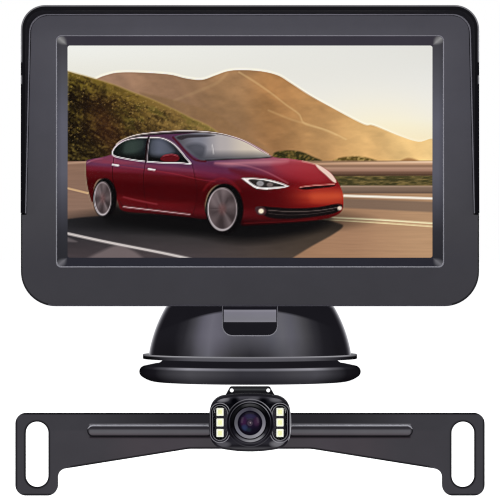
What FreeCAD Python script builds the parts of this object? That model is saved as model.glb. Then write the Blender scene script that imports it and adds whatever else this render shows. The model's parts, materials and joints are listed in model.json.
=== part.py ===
import FreeCAD, Part
import Sketcher
import math
import os

"""Reversing camera kit: a 7 inch monitor with a sun hood on a suction base, and a number-plate bar
with a tilting camera.

Frame: millimetres, origin at the centre of the suction cup's flat face, +Z up, +X to the viewer's
right. The screen and the camera's lens both look along -Y, so +Y is the back of both. Monitor and
camera pieces are drawn in their own frames, with y = 0 on the front of the bezel and of the bar.
Each piece is one body or one boolean result, and its label names its file.
"""

V = FreeCAD.Vector
doc = FreeCAD.newDocument("reversing_camera_kit")
sheet = doc.addObject("Spreadsheet::Sheet", "dims")

SIZES = {
    # where the monitor and the camera stand
    "face_y": -66.0, "monitor_z": 96.55, "camera_z": -13.85,
    # monitor: outline, and depths measured back from its front face
    "monitor_width": 191.4, "monitor_height": 125.7, "low_corner": 14.5, "top_corner": 11.0,
    "bezel_back": 8.0, "cover_back": 13.0, "bulge_back": 23.0,
    "bulge_width": 132.0, "bulge_height": 88.0, "bulge_z": 8.0, "bulge_corner": 10.0,
    "open_width": 152.6, "open_height": 88.7, "open_z": 1.8,
    "bevel_width": 161.6, "bevel_height": 96.5, "bevel_z": 1.6, "bevel_depth": 2.2,
    "cavity_width": 180.0, "cavity_height": 117.3, "cavity_z": -1.35, "front_wall": 3.4,
    "post_x": 86.2, "post_low": 52.0, "post_up": 50.0,
    # sun hood: foot below the middle, inner outline, rim
    "hood_low": 24.0, "hood_top": 59.1, "hood_half_up": 92.15, "hood_half_low": 93.85,
    "hood_corner": 7.5, "hood_seat": 6.0, "hood_reach": 25.0,
    "hood_rim_width": 188.2, "hood_rim_top": 61.25, "hood_gap": 0.06,
    # display
    "glass_width": 165.2, "glass_height": 99.6,
    # ball mount
    "ball_y": 36.0, "ball_radius": 8.5, "seat_radius": 10.0, "ball_cup_radius": 12.0,
    "nut_radius": 15.2, "run_gap": 0.05,
    # suction base
    "suction_radius": 48.1, "flange_z": 10.0, "flange_top": 12.0, "flange_radius": 46.5,
    "slot_width": 22.9, "slot_z": 21.1, "lever_low": 26.6, "lever_width": 22.3, "lever_z": 36.0,
    "pin_radius": 2.0, "rod_radius": 3.0,
    # arm joint
    "arm_y": 24.0, "arm_z": 50.0, "eye_radius": 7.0, "ear_inner": 8.0, "ear_outer": 12.0,
    "bolt_radius": 3.0,
    # plate bar
    "bar_width": 195.9, "bar_end_width": 17.75, "bar_thickness": 1.8, "bar_top": 3.05,
    "bar_end_low": 31.45, "slot_pitch": 177.8, "plate_slot_z": 14.25, "plate_slot_radius": 4.75,
    "plate_slot_length": 27.3, "bead_width": 5.2, "bead_z": 4.35,
    # camera: distances forward of the bar are positive here
    "case_width": 34.0, "case_height": 23.8, "case_front": 24.0, "case_back": 9.8,
    "pivot_y": 5.5, "pivot_radius": 1.25,
    "led_x": 12.35, "frame_width": 8.3, "frame_height": 16.6, "lens_radius": 8.0,
}


class Size:
    """A size as a number together with the expression that gives it from the sheet."""

    def __init__(self, value, text):
        self.value, self.text = float(value), text

    def __add__(self, other):
        other = size(other)
        return Size(self.value + other.value, "(%s + %s)" % (self.text, other.text))

    def __sub__(self, other):
        other = size(other)
        return Size(self.value - other.value, "(%s - %s)" % (self.text, other.text))

    def __mul__(self, other):
        other = size(other)
        return Size(self.value * other.value, "(%s * %s)" % (self.text, other.text))

    def __truediv__(self, other):
        other = size(other)
        return Size(self.value / other.value, "(%s / %s)" % (self.text, other.text))

    def __neg__(self):
        return Size(-self.value, "(0 - %s)" % self.text)

    def __rmul__(self, other):
        return size(other) * self


def size(x):
    if isinstance(x, Size):
        return x
    return Size(x, "%.6f" % float(x) if float(x) >= 0 else "(0 - %.6f)" % -float(x))


class Dims:
    """dims.name here is the Size of the sheet cell dims.name."""


dims = Dims()
for row, (alias, number) in enumerate(SIZES.items(), start=1):
    sheet.set("A%d" % row, alias)
    sheet.set("B%d" % row, str(number))
    sheet.setAlias("B%d" % row, alias)
    setattr(dims, alias, Size(number, "dims." + alias))
doc.recompute()

PIECES = []
BASE = (size(0), size(0))       # y and z of each unit's frame
MONITOR = (dims.face_y, dims.monitor_z)
CAMERA = (dims.face_y, dims.camera_z)


def place(obj, where):
    y, z = where
    obj.Placement = FreeCAD.Placement(V(0, y.value, z.value), FreeCAD.Rotation())
    if where is not BASE:
        obj.setExpression("Placement.Base.y", y.text)
        obj.setExpression("Placement.Base.z", z.text)


# =============================================================== sketch shapes
# Each shape is a function that adds geometry, and the constraints that tie it to the sheet.
def tie(sketch, constraint, value):
    index = sketch.addConstraint(constraint)
    name = "c%d" % index
    sketch.renameConstraint(index, name)
    if "dims." in value.text:
        sketch.setExpression("Constraints." + name, value.text)


def level(sketch, kind, geo, value, axis, pos=3):
    """Ties one coordinate of a point to a value; pos 3 is an arc's centre."""
    number = value.value
    if abs(number) < 1e-9:
        sketch.addConstraint(Sketcher.Constraint("PointOnObject", geo, pos, axis))
    elif number > 0:
        tie(sketch, Sketcher.Constraint(kind, -1, 1, geo, pos, number), value)
    else:
        tie(sketch, Sketcher.Constraint(kind, geo, pos, -1, 1, -number), -value)


def fix_point(sketch, geo, pos, x, y):
    level(sketch, "DistanceX", geo, size(x), -2, pos)
    level(sketch, "DistanceY", geo, size(y), -1, pos)


def circle(x, y, radius):
    x, y, radius = size(x), size(y), size(radius)

    def add(sketch):
        round_ = Part.Circle(V(x.value, y.value, 0), V(0, 0, 1), radius.value)
        geo = sketch.addGeometry(round_, False)
        fix_point(sketch, geo, 3, x, y)
        tie(sketch, Sketcher.Constraint("Radius", geo, radius.value), radius)
    return add


def via(x, y):
    """A point on the arc between the corners before and after it in a path."""
    return ("via", x, y)


def path(*points):
    """A closed outline of corners (x, y), joined by lines, or by arcs where a via stands between."""
    corners, vias = [], []
    for point in points:
        if point[0] == "via":
            vias[-1] = V(size(point[1]).value, size(point[2]).value, 0)
        else:
            corners.append((size(point[0]), size(point[1])))
            vias.append(None)
    count = len(corners)

    def add(sketch):
        ends, radii = [], {}    # ends: geometry index, its first point, its last point
        for i in range(count):
            start, end = [V(x.value, y.value, 0) for x, y in (corners[i], corners[(i + 1) % count])]
            if vias[i] is None:
                geo = sketch.addGeometry(Part.LineSegment(start, end), False)
                ends.append((geo, 1, 2))
            else:
                arc = Part.Arc(start, vias[i], end)
                radii[i] = arc.toShape().Curve.Radius
                geo = sketch.addGeometry(arc, False)
                to_first = (sketch.getPoint(geo, 1) - start).Length
                first = 1 if to_first < (sketch.getPoint(geo, 2) - start).Length else 2
                ends.append((geo, first, 3 - first))
        for i in range(count):
            geo, _, last = ends[i]
            next_geo, first, _ = ends[(i + 1) % count]
            sketch.addConstraint(Sketcher.Constraint("Coincident", geo, last, next_geo, first))
        for i, radius in radii.items():
            geo = ends[i][0]
            (x1, y1), (x2, y2) = corners[i], corners[(i + 1) % count]
            run, rise = x1.value - x2.value, y1.value - y2.value
            if abs(math.hypot(run, rise) - 2 * radius) > 1e-3:
                sketch.addConstraint(Sketcher.Constraint("Radius", geo, radius))
            elif abs(run) > abs(rise):      # a half circle: its centre is level with its ends
                level(sketch, "DistanceY", geo, (y1 + y2) / 2, -1)
            else:
                level(sketch, "DistanceX", geo, (x1 + x2) / 2, -2)
        for i in range(count):
            fix_point(sketch, ends[i][0], ends[i][1], *corners[i])
    return add


def rect(x, y, width, height):
    x, y, width, height = size(x), size(y), size(width), size(height)
    left, right, low, top = x - width / 2, x + width / 2, y - height / 2, y + height / 2
    return path((left, low), (right, low), (right, top), (left, top))


# how far a corner arc's middle lies in from both sides of the corner, per unit of radius
ARC_MID = 1 - math.sqrt(0.5)


def round_rect(x, y, width, height, radius):
    x, y, width, height, radius = size(x), size(y), size(width), size(height), size(radius)
    left, right, low, top = x - width / 2, x + width / 2, y - height / 2, y + height / 2
    mid = radius * ARC_MID
    return path(
        (left + radius, low), (right - radius, low), via(right - mid, low + mid),
        (right, low + radius), (right, top - radius), via(right - mid, top - mid),
        (right - radius, top), (left + radius, top), via(left + mid, top - mid),
        (left, top - radius), (left, low + radius), via(left + mid, low + mid))


def upright_slot(x, y, length, radius):
    x, y, length, radius = size(x), size(y), size(length), size(radius)
    half = length / 2 - radius
    return path((x + radius, y - half), (x + radius, y + half), via(x, y + half + radius),
                (x - radius, y + half), (x - radius, y - half), via(x, y - half - radius))


def level_slot(x, y, length, radius):
    x, y, length, radius = size(x), size(y), size(length), size(radius)
    half = length / 2 - radius
    return path((x - half, y - radius), (x + half, y - radius), via(x + half + radius, y),
                (x + half, y + radius), (x - half, y + radius), via(x - half - radius, y))


SIDES = (-1, 1)
DIAGONALS = (45, 135, 225, 315)


def each(shape, centres, *sizes):
    """The same shape at every centre."""
    return [shape(x, y, *sizes) for x, y in centres]


def around(radius, angles, x=0, y=0):
    """Points at the given angles in degrees on a circle about x, y."""
    return [(x + radius * math.cos(math.radians(a)), y + radius * math.sin(math.radians(a)))
            for a in angles]


# =============================================================== bodies
class Body:
    """A PartDesign body whose features are written one after another. Pads and pockets are given
    by the two coordinates they reach along the axis that crosses the sketch plane."""

    def __init__(self, label, where, piece=True):
        self.body = doc.addObject("PartDesign::Body", label)
        self.count = 0
        place(self.body, where)
        if piece:
            PIECES.append(self.body)

    def sketch(self, plane, offset, shapes):
        self.count += 1
        name = "%s_sketch%d" % (self.body.Name, self.count)
        sketch = self.body.newObject("Sketcher::SketchObject", name)
        features = self.body.Origin.OriginFeatures
        origin = [f for f in features if f.Role == plane + "_Plane"][0]
        sketch.AttachmentSupport = [(origin, "")]
        sketch.MapMode = "FlatFace"
        offset = size(offset)
        sketch.AttachmentOffset = FreeCAD.Placement(V(0, 0, offset.value), FreeCAD.Rotation())
        if "dims." in offset.text:
            sketch.setExpression("AttachmentOffset.Base.z", offset.text)
        for add in shapes:
            add(sketch)
        sketch.Visibility = False
        return sketch

    def feature(self, kind, sketch):
        name = "%s_%s%d" % (self.body.Name, kind.lower(), self.count)
        feature = self.body.newObject("PartDesign::" + kind, name)
        feature.Profile = sketch
        return feature

    def extrude(self, kind, sketch, length):
        feature = self.feature(kind, sketch)
        feature.Length = length.value
        feature.setExpression("Length", length.text)
        doc.recompute()

    def pad(self, plane, low, high, *shapes):
        low, high = size(low), size(high)
        # the XZ plane's normal is -Y, so its sketch stands at the far end and the pad comes forward
        offset = -high if plane == "XZ" else low
        self.extrude("Pad", self.sketch(plane, offset, shapes), high - low)

    def cut(self, plane, low, high, *shapes):
        low, high = size(low), size(high)
        offset = -low if plane == "XZ" else high
        self.extrude("Pocket", self.sketch(plane, offset, shapes), high - low)

    def revolve(self, sketch, axis):
        feature = self.feature("Revolution", sketch)
        feature.ReferenceAxis = (sketch, [axis])
        feature.Angle = 360.0
        doc.recompute()

    def turn(self, plane, shape):
        """Revolves a YZ outline about the Y axis, or an XZ outline about the Z axis."""
        self.revolve(self.sketch(plane, 0, [shape]), "H_Axis" if plane == "YZ" else "V_Axis")

    def loft(self, kind, first_y, second_y, first_shape, second_shape):
        first = self.sketch("XZ", -size(first_y), [first_shape])
        second = self.sketch("XZ", -size(second_y), [second_shape])
        feature = self.feature(kind, first)
        feature.Sections = [second]
        feature.Ruled = True
        doc.recompute()

    def dress(self, kind, prop, amount, pick):
        """Fillets or chamfers the edges whose bounding box satisfies pick."""
        tip = self.body.Tip
        edges = enumerate(tip.Shape.Edges, start=1)
        names = ["Edge%d" % i for i, edge in edges if pick(edge.BoundBox)]
        if not names:
            raise RuntimeError("no edge picked on " + self.body.Label)
        self.count += 1
        name = "%s_%s%d" % (self.body.Name, kind.lower(), self.count)
        feature = self.body.newObject("PartDesign::" + kind, name)
        feature.Base = (tip, names)
        amount = size(amount)
        setattr(feature, prop, amount.value)
        if "dims." in amount.text:
            feature.setExpression(prop, amount.text)
        doc.recompute()

    def fillet(self, radius, pick):
        self.dress("Fillet", "Radius", radius, pick)

    def chamfer(self, amount, pick):
        self.dress("Chamfer", "Size", amount, pick)


def near(a, b, tolerance=0.02):
    return abs(a - size(b).value) < tolerance


# edge pickers
def runs_along_y(box):
    return box.YLength > 1 and box.XLength < 0.01 and box.ZLength < 0.01


def corners_at(*levels):
    """Edges along Y at any of these heights."""
    return lambda box: runs_along_y(box) and any(near(box.ZMax, z) for z in levels)


def front_at(y):
    """Edges that reach no further back than y, the front of their body."""
    return lambda box: near(box.YMax, y, 0.001)


def back_at(y):
    """Edges that reach no further forward than y, the back of their body."""
    return lambda box: near(box.YMin, y, 0.001)


def boolean(kind, name, *operands):
    result = doc.addObject("Part::" + kind, name)
    if kind == "MultiFuse":
        result.Shapes = list(operands)
    else:
        result.Base, result.Tool = operands
    doc.recompute()
    return result


# =============================================================== monitor case
half_width, half_height = dims.monitor_width / 2, dims.monitor_height / 2
posts = [(dims.post_x, -dims.post_low), (-dims.post_x, -dims.post_low),
         (dims.post_x, dims.post_up), (-dims.post_x, dims.post_up)]
cavity_outline = round_rect(0, dims.cavity_z, dims.cavity_width, dims.cavity_height, 9.0)
opening = round_rect(0, dims.open_z, dims.open_width, dims.open_height, 0.9)


def monitor_slab(body, front, back):
    """The monitor's full outline with its rounded corners."""
    body.pad("XZ", front, back, rect(0, 0, dims.monitor_width, dims.monitor_height))
    body.fillet(dims.low_corner, corners_at(-half_height))
    body.fillet(dims.top_corner, corners_at(half_height))


# front bezel
bezel = Body("front_bezel", MONITOR)
monitor_slab(bezel, 0, dims.bezel_back)
# rebate for the hood: everything outside the raised front panel, above the hood's lower ends
panel_up, panel_low, panel_top = dims.hood_half_up, dims.hood_half_low, dims.hood_top
panel_corner = dims.hood_corner
panel_mid = panel_corner * ARC_MID
beyond_x, beyond_z = half_width + 4, half_height + 4
bezel.cut("XZ", 0, dims.hood_seat + 0.1, path(
    (-beyond_x, -dims.hood_low), (-panel_low, -dims.hood_low),
    (-panel_up, panel_top - panel_corner), via(-(panel_up - panel_mid), panel_top - panel_mid),
    (-(panel_up - panel_corner), panel_top), (panel_up - panel_corner, panel_top),
    via(panel_up - panel_mid, panel_top - panel_mid), (panel_up, panel_top - panel_corner),
    (panel_low, -dims.hood_low), (beyond_x, -dims.hood_low),
    (beyond_x, beyond_z), (-beyond_x, beyond_z)))
bezel.fillet(1.1, lambda box: front_at(0)(box) and back_at(0)(box))
bezel.loft("SubtractiveLoft", 0, dims.bevel_depth,
           round_rect(0, dims.bevel_z, dims.bevel_width, dims.bevel_height, 2.5), opening)
bezel.cut("XZ", dims.bevel_depth - 0.2, dims.bezel_back, opening)
bezel.cut("XZ", dims.front_wall, dims.bezel_back, cavity_outline)
bezel.pad("XZ", dims.front_wall - 0.4, dims.bezel_back, *each(circle, posts, 2.7))
bezel.cut("XZ", dims.front_wall + 0.8, dims.bezel_back, *each(circle, posts, 1.25))

# rear cover: a shallow tray with a bulge behind it
board_front, board_back = 12.0, 13.6
board_posts = [(-40, -18), (40, -18), (-40, 26), (40, 26)]
screw_seat = dims.cover_back - 1.6
cover = Body("rear_cover", MONITOR)
monitor_slab(cover, dims.bezel_back, dims.cover_back)
cover.fillet(3.4, back_at(dims.cover_back))
cover.pad("XZ", dims.cover_back - 2, dims.bulge_back,
          round_rect(0, dims.bulge_z, dims.bulge_width, dims.bulge_height, dims.bulge_corner))
cover.fillet(3.5, back_at(dims.bulge_back))
cover.cut("XZ", dims.bezel_back, dims.cover_back - 2, cavity_outline)
cover.cut("XZ", dims.cover_back - 2, dims.bulge_back - 2,
          round_rect(0, dims.bulge_z, dims.bulge_width - 5, dims.bulge_height - 5, 7.5))
cover.pad("XZ", dims.bezel_back, dims.cover_back - 1.5, *each(circle, posts, 3.6))
cover.cut("XZ", dims.bezel_back, dims.cover_back, *each(circle, posts, 1.4))
cover.cut("XZ", screw_seat, dims.cover_back, *each(circle, posts, 2.75))
cover.pad("XZ", board_back, dims.bulge_back - 1, *each(circle, board_posts, 2.4))
cover.cut("XZ", board_back, 19.0, *each(circle, board_posts, 0.9))
# rear openings: four buttons, socket, two banks of vents, four screw holes for the ball cup
button_z = 40.0
buttons = [(x, button_z) for x in (-24.0, -8.0, 8.0, 24.0)]
socket = (-50, -22)
socket_radius = 4.9
vents = [(side * (30.0 + 4.4 * i), 10.0) for side in SIDES for i in range(6)]
cup_screw_places = around(15.3, DIAGONALS)
rear_wall = (dims.bulge_back - 2.2, dims.bulge_back)
cover.cut("XZ", *rear_wall, *each(round_rect, buttons, 7.0, 4.0, 1.0))
cover.cut("XZ", *rear_wall, circle(*socket, socket_radius))
cover.cut("XZ", *rear_wall, *each(upright_slot, vents, 18.0, 0.9))
cover.cut("XZ", *rear_wall, *each(circle, cup_screw_places, 1.1))

# rear cover screws, with crossed slots
cover_screws = Body("rear_cover_screws", MONITOR)
screw_top = dims.cover_back - 0.2
cover_screws.pad("XZ", screw_seat, screw_top, *each(circle, posts, 2.6))
cover_screws.pad("XZ", dims.front_wall + 1.2, screw_seat, *each(circle, posts, 1.2))
for width, height in ((2.8, 0.6), (0.6, 2.8)):
    cover_screws.cut("XZ", dims.cover_back - 1.0, screw_top, *each(rect, posts, width, height))


# sun hood
def door(half_up, half_low, top, low, radius):
    """Door-shaped outline: straight sides, which may slant, round upper corners, level foot."""
    radius = size(radius)
    mid = radius * ARC_MID
    return path(
        (-half_low, low), (half_low, low), (half_up, top - radius), via(half_up - mid, top - mid),
        (half_up - radius, top), (-(half_up - radius), top), via(-(half_up - mid), top - mid),
        (-half_up, top - radius))


hood_foot = -dims.hood_low + 0.1
gap = dims.hood_gap
rim_half = dims.hood_rim_width / 2
hood = Body("sun_hood", MONITOR)
hood_outline = door(half_width, half_width, half_height, hood_foot, dims.top_corner)
hood.pad("XZ", 0, dims.hood_seat, hood_outline)
hood.loft("AdditiveLoft", 0, -dims.hood_reach, hood_outline,
          door(rim_half, rim_half, dims.hood_rim_top, hood_foot, 10.0))
hood.cut("XZ", -(dims.hood_reach + 1), dims.hood_seat + 1,
         door(dims.hood_half_up + gap, dims.hood_half_low + gap, dims.hood_top + gap,
              -dims.hood_low - 1, dims.hood_corner + gap))
# the sides slope back from the rim down to the foot
hood.cut("YZ", -(half_width + 2), half_width + 2, path(
    (-dims.hood_reach - 2, 50.0), (-dims.hood_reach, 50.0), via(-23.2, 38.5), (-20.6, 32.0),
    (-2.0, -dims.hood_low - 2), (-dims.hood_reach - 2, -dims.hood_low - 2)))

# =============================================================== display and electronics
# display layers, from the front, held in a tray
glass_back = dims.front_wall + 0.7
lcd_back = dims.front_wall + 1.9
light_back = dims.front_wall + 4.1
tray_back = dims.front_wall + 4.6
for label, front, rear_y in (("screen_glass", dims.front_wall, glass_back),
                             ("lcd_panel", glass_back, lcd_back),
                             ("backlight", lcd_back, light_back)):
    layer = Body(label, MONITOR)
    layer.pad("XZ", front, rear_y, rect(0, dims.open_z, dims.glass_width, dims.glass_height))


def around_glass(margin):
    return rect(0, dims.open_z, dims.glass_width + margin, dims.glass_height + margin)


tray = Body("display_tray", MONITOR)
tray.pad("XZ", glass_back, tray_back, around_glass(1.4))
tray.cut("XZ", glass_back, light_back, around_glass(0.1))
tray.cut("XZ", light_back, tray_back, *each(round_rect, [(-50, 2), (50, 2)], 40, 60, 3))

# main board, its components and screws
board = Body("main_board", MONITOR)
board.pad("XZ", board_front, board_back, round_rect(0, 4, 92, 54, 2))
board.cut("XZ", board_front, board_back, *each(circle, board_posts, 1.2))
parts = Body("board_components", MONITOR)
parts.pad("XZ", board_back, 15.0,
          rect(-14, 6, 14, 14), rect(14, 12, 10, 10), rect(8, -8, 9, 5))
parts.pad("XZ", board_back, 18.2, circle(28, -6, 3.2), circle(-30, -8, 3.2), rect(-30, 14, 10, 8))
board_screws = Body("board_screws", MONITOR)
board_screws.pad("XZ", 11.0, board_front, *each(circle, board_posts, 2.0))
board_screws.pad("XZ", board_front, 18.0, *each(circle, board_posts, 0.9))

# button board on two blocks, switches, and the buttons with flanges inside the cover
strip_front, strip_back, switch_back = 16.2, 17.4, 18.4
strip = Body("button_board", MONITOR)
strip.pad("XZ", strip_front, strip_back, round_rect(0, button_z, 64, 9, 1))
strip.pad("XZ", 14.2, strip_front, *each(rect, [(-29, button_z), (29, button_z)], 4, 6))
switches = Body("button_switches", MONITOR)
switches.pad("XZ", strip_back, switch_back, *each(rect, buttons, 5, 5))
switches.pad("XZ", switch_back, 19.0, *each(circle, buttons, 1.4))
button_labels = ("button_power", "button_menu", "button_up", "button_down")
button_end = dims.bulge_back + 0.9
for label, (x, z) in zip(button_labels, buttons):
    button = Body(label, MONITOR)
    button.pad("XZ", 20.2, button_end, round_rect(x, z, 6.6, 3.6, 0.8))
    button.fillet(0.35, back_at(button_end))
    button.pad("XZ", 19.9, 20.8, round_rect(x, z, 8.6, 5.6, 0.8))

# socket with a flange on the bulge, and its pins
socket_floor, socket_end = 17.0, dims.bulge_back + 1.0
jack = Body("power_video_socket", MONITOR)
jack.pad("XZ", dims.bulge_back, socket_end, circle(*socket, 6.4))
jack.pad("XZ", 14.5, dims.bulge_back, circle(*socket, socket_radius))
jack.cut("XZ", socket_floor, socket_end, circle(*socket, 3.5))
jack_pins = Body("socket_pins", MONITOR)
jack_pins.pad("XZ", socket_floor, 22.0, *each(circle, around(1.6, DIAGONALS, *socket), 0.4))

# =============================================================== ball mount on the rear cover
# Its axis is the monitor's own Y axis.
socket_ball = dims.seat_radius + dims.run_gap       # hollow in the cup
seat_hollow = dims.ball_radius + dims.run_gap
cup_flange = dims.bulge_back + 2.4
mouth = 4.5                     # the cup's open end, behind the ball's centre
seat_ends = (-6.0, 3.4)         # the seat's ends, from the ball's centre


def on_sphere(radius, along):
    """Point (y, z) on a sphere about the ball's centre."""
    return (dims.ball_y + along, math.sqrt(radius.value ** 2 - along ** 2))


cup = Body("ball_cup", MONITOR)
cup.turn("YZ", path(
    (dims.bulge_back, 0), (dims.bulge_back, 18.5), (cup_flange, 18.5),
    (cup_flange, dims.ball_cup_radius), (dims.ball_y + mouth, dims.ball_cup_radius),
    on_sphere(socket_ball, mouth),
    via(dims.ball_y - socket_ball * math.cos(math.radians(60)),
        socket_ball * math.sin(math.radians(60))),
    (dims.ball_y - socket_ball, 0)))
cup.cut("XZ", dims.bulge_back, cup_flange, *each(circle, cup_screw_places, 1.3))
for width, height in ((30, 1.4), (1.4, 30)):     # crossed slots in the rim
    cup.cut("XZ", dims.ball_y - 4, dims.ball_y + mouth + 1, rect(0, 0, width, height))

cup_screws = Body("cup_screws", MONITOR)
cup_screw_top = dims.bulge_back + 3.8
cup_screws.pad("XZ", cup_flange, cup_screw_top, *each(circle, cup_screw_places, 2.1))
cup_screws.pad("XZ", dims.bulge_back - 3, cup_flange, *each(circle, cup_screw_places, 1.1))
cup_screws.cut("XZ", dims.bulge_back + 3.0, cup_screw_top,
               *each(rect, cup_screw_places, 2.4, 0.5))

seat = Body("ball_seat", MONITOR)
seat.turn("YZ", path(
    on_sphere(seat_hollow, seat_ends[0]), via(dims.ball_y, seat_hollow),
    on_sphere(seat_hollow, seat_ends[1]), on_sphere(dims.seat_radius, seat_ends[1]),
    via(dims.ball_y, dims.seat_radius), on_sphere(dims.seat_radius, seat_ends[0])))

nut = Body("lock_nut", MONITOR)
nut_span = (dims.bulge_back + 5.0, dims.ball_y + 3.2)
nut.pad("XZ", *nut_span, circle(0, 0, dims.nut_radius),
        circle(0, 0, dims.ball_cup_radius + dims.run_gap))
nut.cut("XZ", *nut_span, *each(circle, around(17.0, range(0, 360, 30)), 2.6))

# =============================================================== suction base
# soft cup with a thin middle under the flange
rim = dims.suction_radius
suction_cup = Body("suction_cup", BASE)
suction_cup.turn("XZ", path(
    (0, 1.0), (30, 1.0), (33, 0), (rim - 8.1, 0), via(rim - 4.41, 0.59),
    (rim - 1.1, 2.3), via(rim - 0.29, 3.257), (rim, 4.477), via(rim - 0.528, 5.969),
    (rim - 1.9, 6.9), (41.5, 7.9), via(38.7, 8.7), (37.6, dims.flange_z),
    (9.2, dims.flange_z), (9.2, 2.0), (0, 2.0)))

# flange with a raised middle and three screw holes
base_screw_places = around(30, (30, 150, 270))
flange_bore = dims.rod_radius + dims.run_gap
flange_edge = dims.flange_radius
soft = 0.3                      # rounding of the flange's edge
soft_mid = soft * ARC_MID
hub_top = dims.flange_top + 3
flange = Body("base_flange", BASE)
flange.turn("XZ", path(
    (flange_bore, dims.flange_z), (flange_edge - soft, dims.flange_z),
    via(flange_edge - soft_mid, dims.flange_z + soft_mid), (flange_edge, dims.flange_z + soft),
    (flange_edge, dims.flange_top - soft),
    via(flange_edge - soft_mid, dims.flange_top - soft_mid),
    (flange_edge - soft, dims.flange_top), (36, dims.flange_top), (36, hub_top),
    (flange_bore, hub_top)))
flange.cut("XY", 9, 12.0, *each(circle, base_screw_places, 3.2))
flange.cut("XY", 9, 16, *each(circle, base_screw_places, 1.6))

base_screws = Body("base_screws", BASE)
base_screws.pad("XY", 10.2, 12.0, *each(circle, base_screw_places, 3.0))
base_screws.pad("XY", 12.0, 18.8, *each(circle, base_screw_places, 1.5))
base_screws.cut("XY", 10.2, 11.2, *each(rect, base_screw_places, 3.4, 0.7))

# profiles (radius, z) from the foot up to the axis
DOME_OUTSIDE = [(43.9, 12.0), via(41.3, 22.2), (36.7, 32.2), via(29.0, 39.5), (14.0, 43.9),
                (0, 44.4)]
DOME_INSIDE = [(41.4, 12.0), via(38.9, 21.4), (34.5, 30.8), via(27.4, 37.3), (13.4, 41.3),
               (0, 41.8)]
LEVER_INSIDE = [(40.2, 12.0), via(37.4, 21.2), (32.6, 30.2), via(25.6, 36.6), (12.8, 40.6),
                (0, 41.2)]


def dome_solid(label, profile):
    body = Body(label, BASE, piece=False)
    body.turn("XZ", path((0, 12.0), *profile))
    return body


# dome housing: shell, ears for the arm, screw bosses, less the lever's slot
dome_form = dome_solid("dome_form", DOME_OUTSIDE)
dome_cavity = dome_solid("dome_cavity", DOME_INSIDE)
# leaves the trough the lever lies in
dome_cavity.cut("XY", 18.9, 46, rect(0, -14, dims.slot_width + 4.6, 64))

dome_slot = Body("dome_slot", BASE, piece=False)
slot_half, slot_low, slot_corner, slot_top = dims.slot_width / 2, dims.slot_z, 4, 60
slot_mid = slot_corner * ARC_MID
dome_slot.pad("XZ", -52, 16, path(
    (-slot_half + slot_corner, slot_low), (slot_half - slot_corner, slot_low),
    via(slot_half - slot_mid, slot_low + slot_mid), (slot_half, slot_low + slot_corner),
    (slot_half, slot_top), (-slot_half, slot_top), (-slot_half, slot_low + slot_corner),
    via(-slot_half + slot_mid, slot_low + slot_mid)))
dome_slot.pad("XY", 10, 30, circle(0, 0, 4.9))      # the pull rod's way through the trough's floor
dome_slot.pad("YZ", -15, 15, circle(0, dims.lever_z, dims.pin_radius))

arm_y, arm_z, eye = dims.arm_y, dims.arm_z, dims.eye_radius
ear_outline = path((arm_y - eye, 38.0), (arm_y + eye, 36.0), (arm_y + eye, arm_z),
                   via(arm_y, arm_z + eye), (arm_y - eye, arm_z))
dome_ears = Body("dome_ears", BASE, piece=False)
dome_ears.pad("YZ", dims.ear_inner, dims.ear_outer, ear_outline)
dome_ears.pad("YZ", -dims.ear_outer, -dims.ear_inner, ear_outline)
dome_ears.cut("YZ", -20, 20, circle(arm_y, arm_z, dims.bolt_radius))

# the front boss is short, below the trough
dome_bosses = Body("dome_bosses", BASE, piece=False)
back_places = [place_ for place_ in base_screw_places if place_[1] > -20]
front_places = [place_ for place_ in base_screw_places if place_[1] < -20]
dome_bosses.pad("XY", 15.0, 35.0, *each(circle, back_places, 3.6))
dome_bosses.pad("XY", 15.0, 20.4, *each(circle, front_places, 3.6))
dome_bosses.cut("XY", 15.0, 20.0, *each(circle, base_screw_places, 1.5))

shell = boolean("Cut", "dome_shell", dome_form.body, dome_cavity.body)
shell = boolean("MultiFuse", "dome_with_ears", shell, dome_ears.body, dome_bosses.body)
PIECES.append(boolean("Cut", "dome_housing", shell, dome_slot.body))

# suction lever: a strip of the dome's own shape, with a pivot boss, a cam and a rib under it
lever_form = dome_solid("lever_form", DOME_OUTSIDE)
lever_strip = Body("lever_strip", BASE, piece=False)
lever_strip.pad("XY", dims.lever_low, 46, rect(0, -17.5, dims.lever_width, 57))
lever_blank = boolean("Common", "lever_blank", lever_form.body, lever_strip.body)
lever_hollow = dome_solid("lever_hollow", LEVER_INSIDE)
lever_shell = boolean("Cut", "lever_shell", lever_blank, lever_hollow.body)

cam_offset, cam_angle = 3.0, math.radians(75)       # angle from straight down, towards +Y
lever_span = (-dims.lever_width / 2, dims.lever_width / 2)
lever_boss = Body("lever_boss", BASE, piece=False)
lever_boss.pad("YZ", *lever_span, circle(0, dims.lever_z, 4.6))
lever_boss.pad("YZ", -4, 4, circle(cam_offset * math.sin(cam_angle),
                                   dims.lever_z - cam_offset * math.cos(cam_angle), 4.0))
lever_boss.pad("YZ", *lever_span, path((-4.2, 37.0), (4.2, 37.0), (4.2, 41.9), (-4.2, 41.9)))
lever_boss.pad("YZ", -1.2, 1.2, path(
    (-31.0, 31.6), (-24, 34.2), (-4, 34.6), (-4, 41.6), (-13, 41.0), (-25, 37.4), (-31, 33.2)))
lever_fused = boolean("MultiFuse", "lever_fused", lever_shell, lever_boss.body)
lever_bore = Body("lever_bore", BASE, piece=False)
lever_bore.pad("YZ", -20, 20, circle(0, dims.lever_z, dims.pin_radius + dims.run_gap))
PIECES.append(boolean("Cut", "suction_lever", lever_fused, lever_bore.body))

pin = Body("lever_pin", BASE)
pin.pad("YZ", -13.4, 13.4, circle(0, dims.lever_z, dims.pin_radius))

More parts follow.
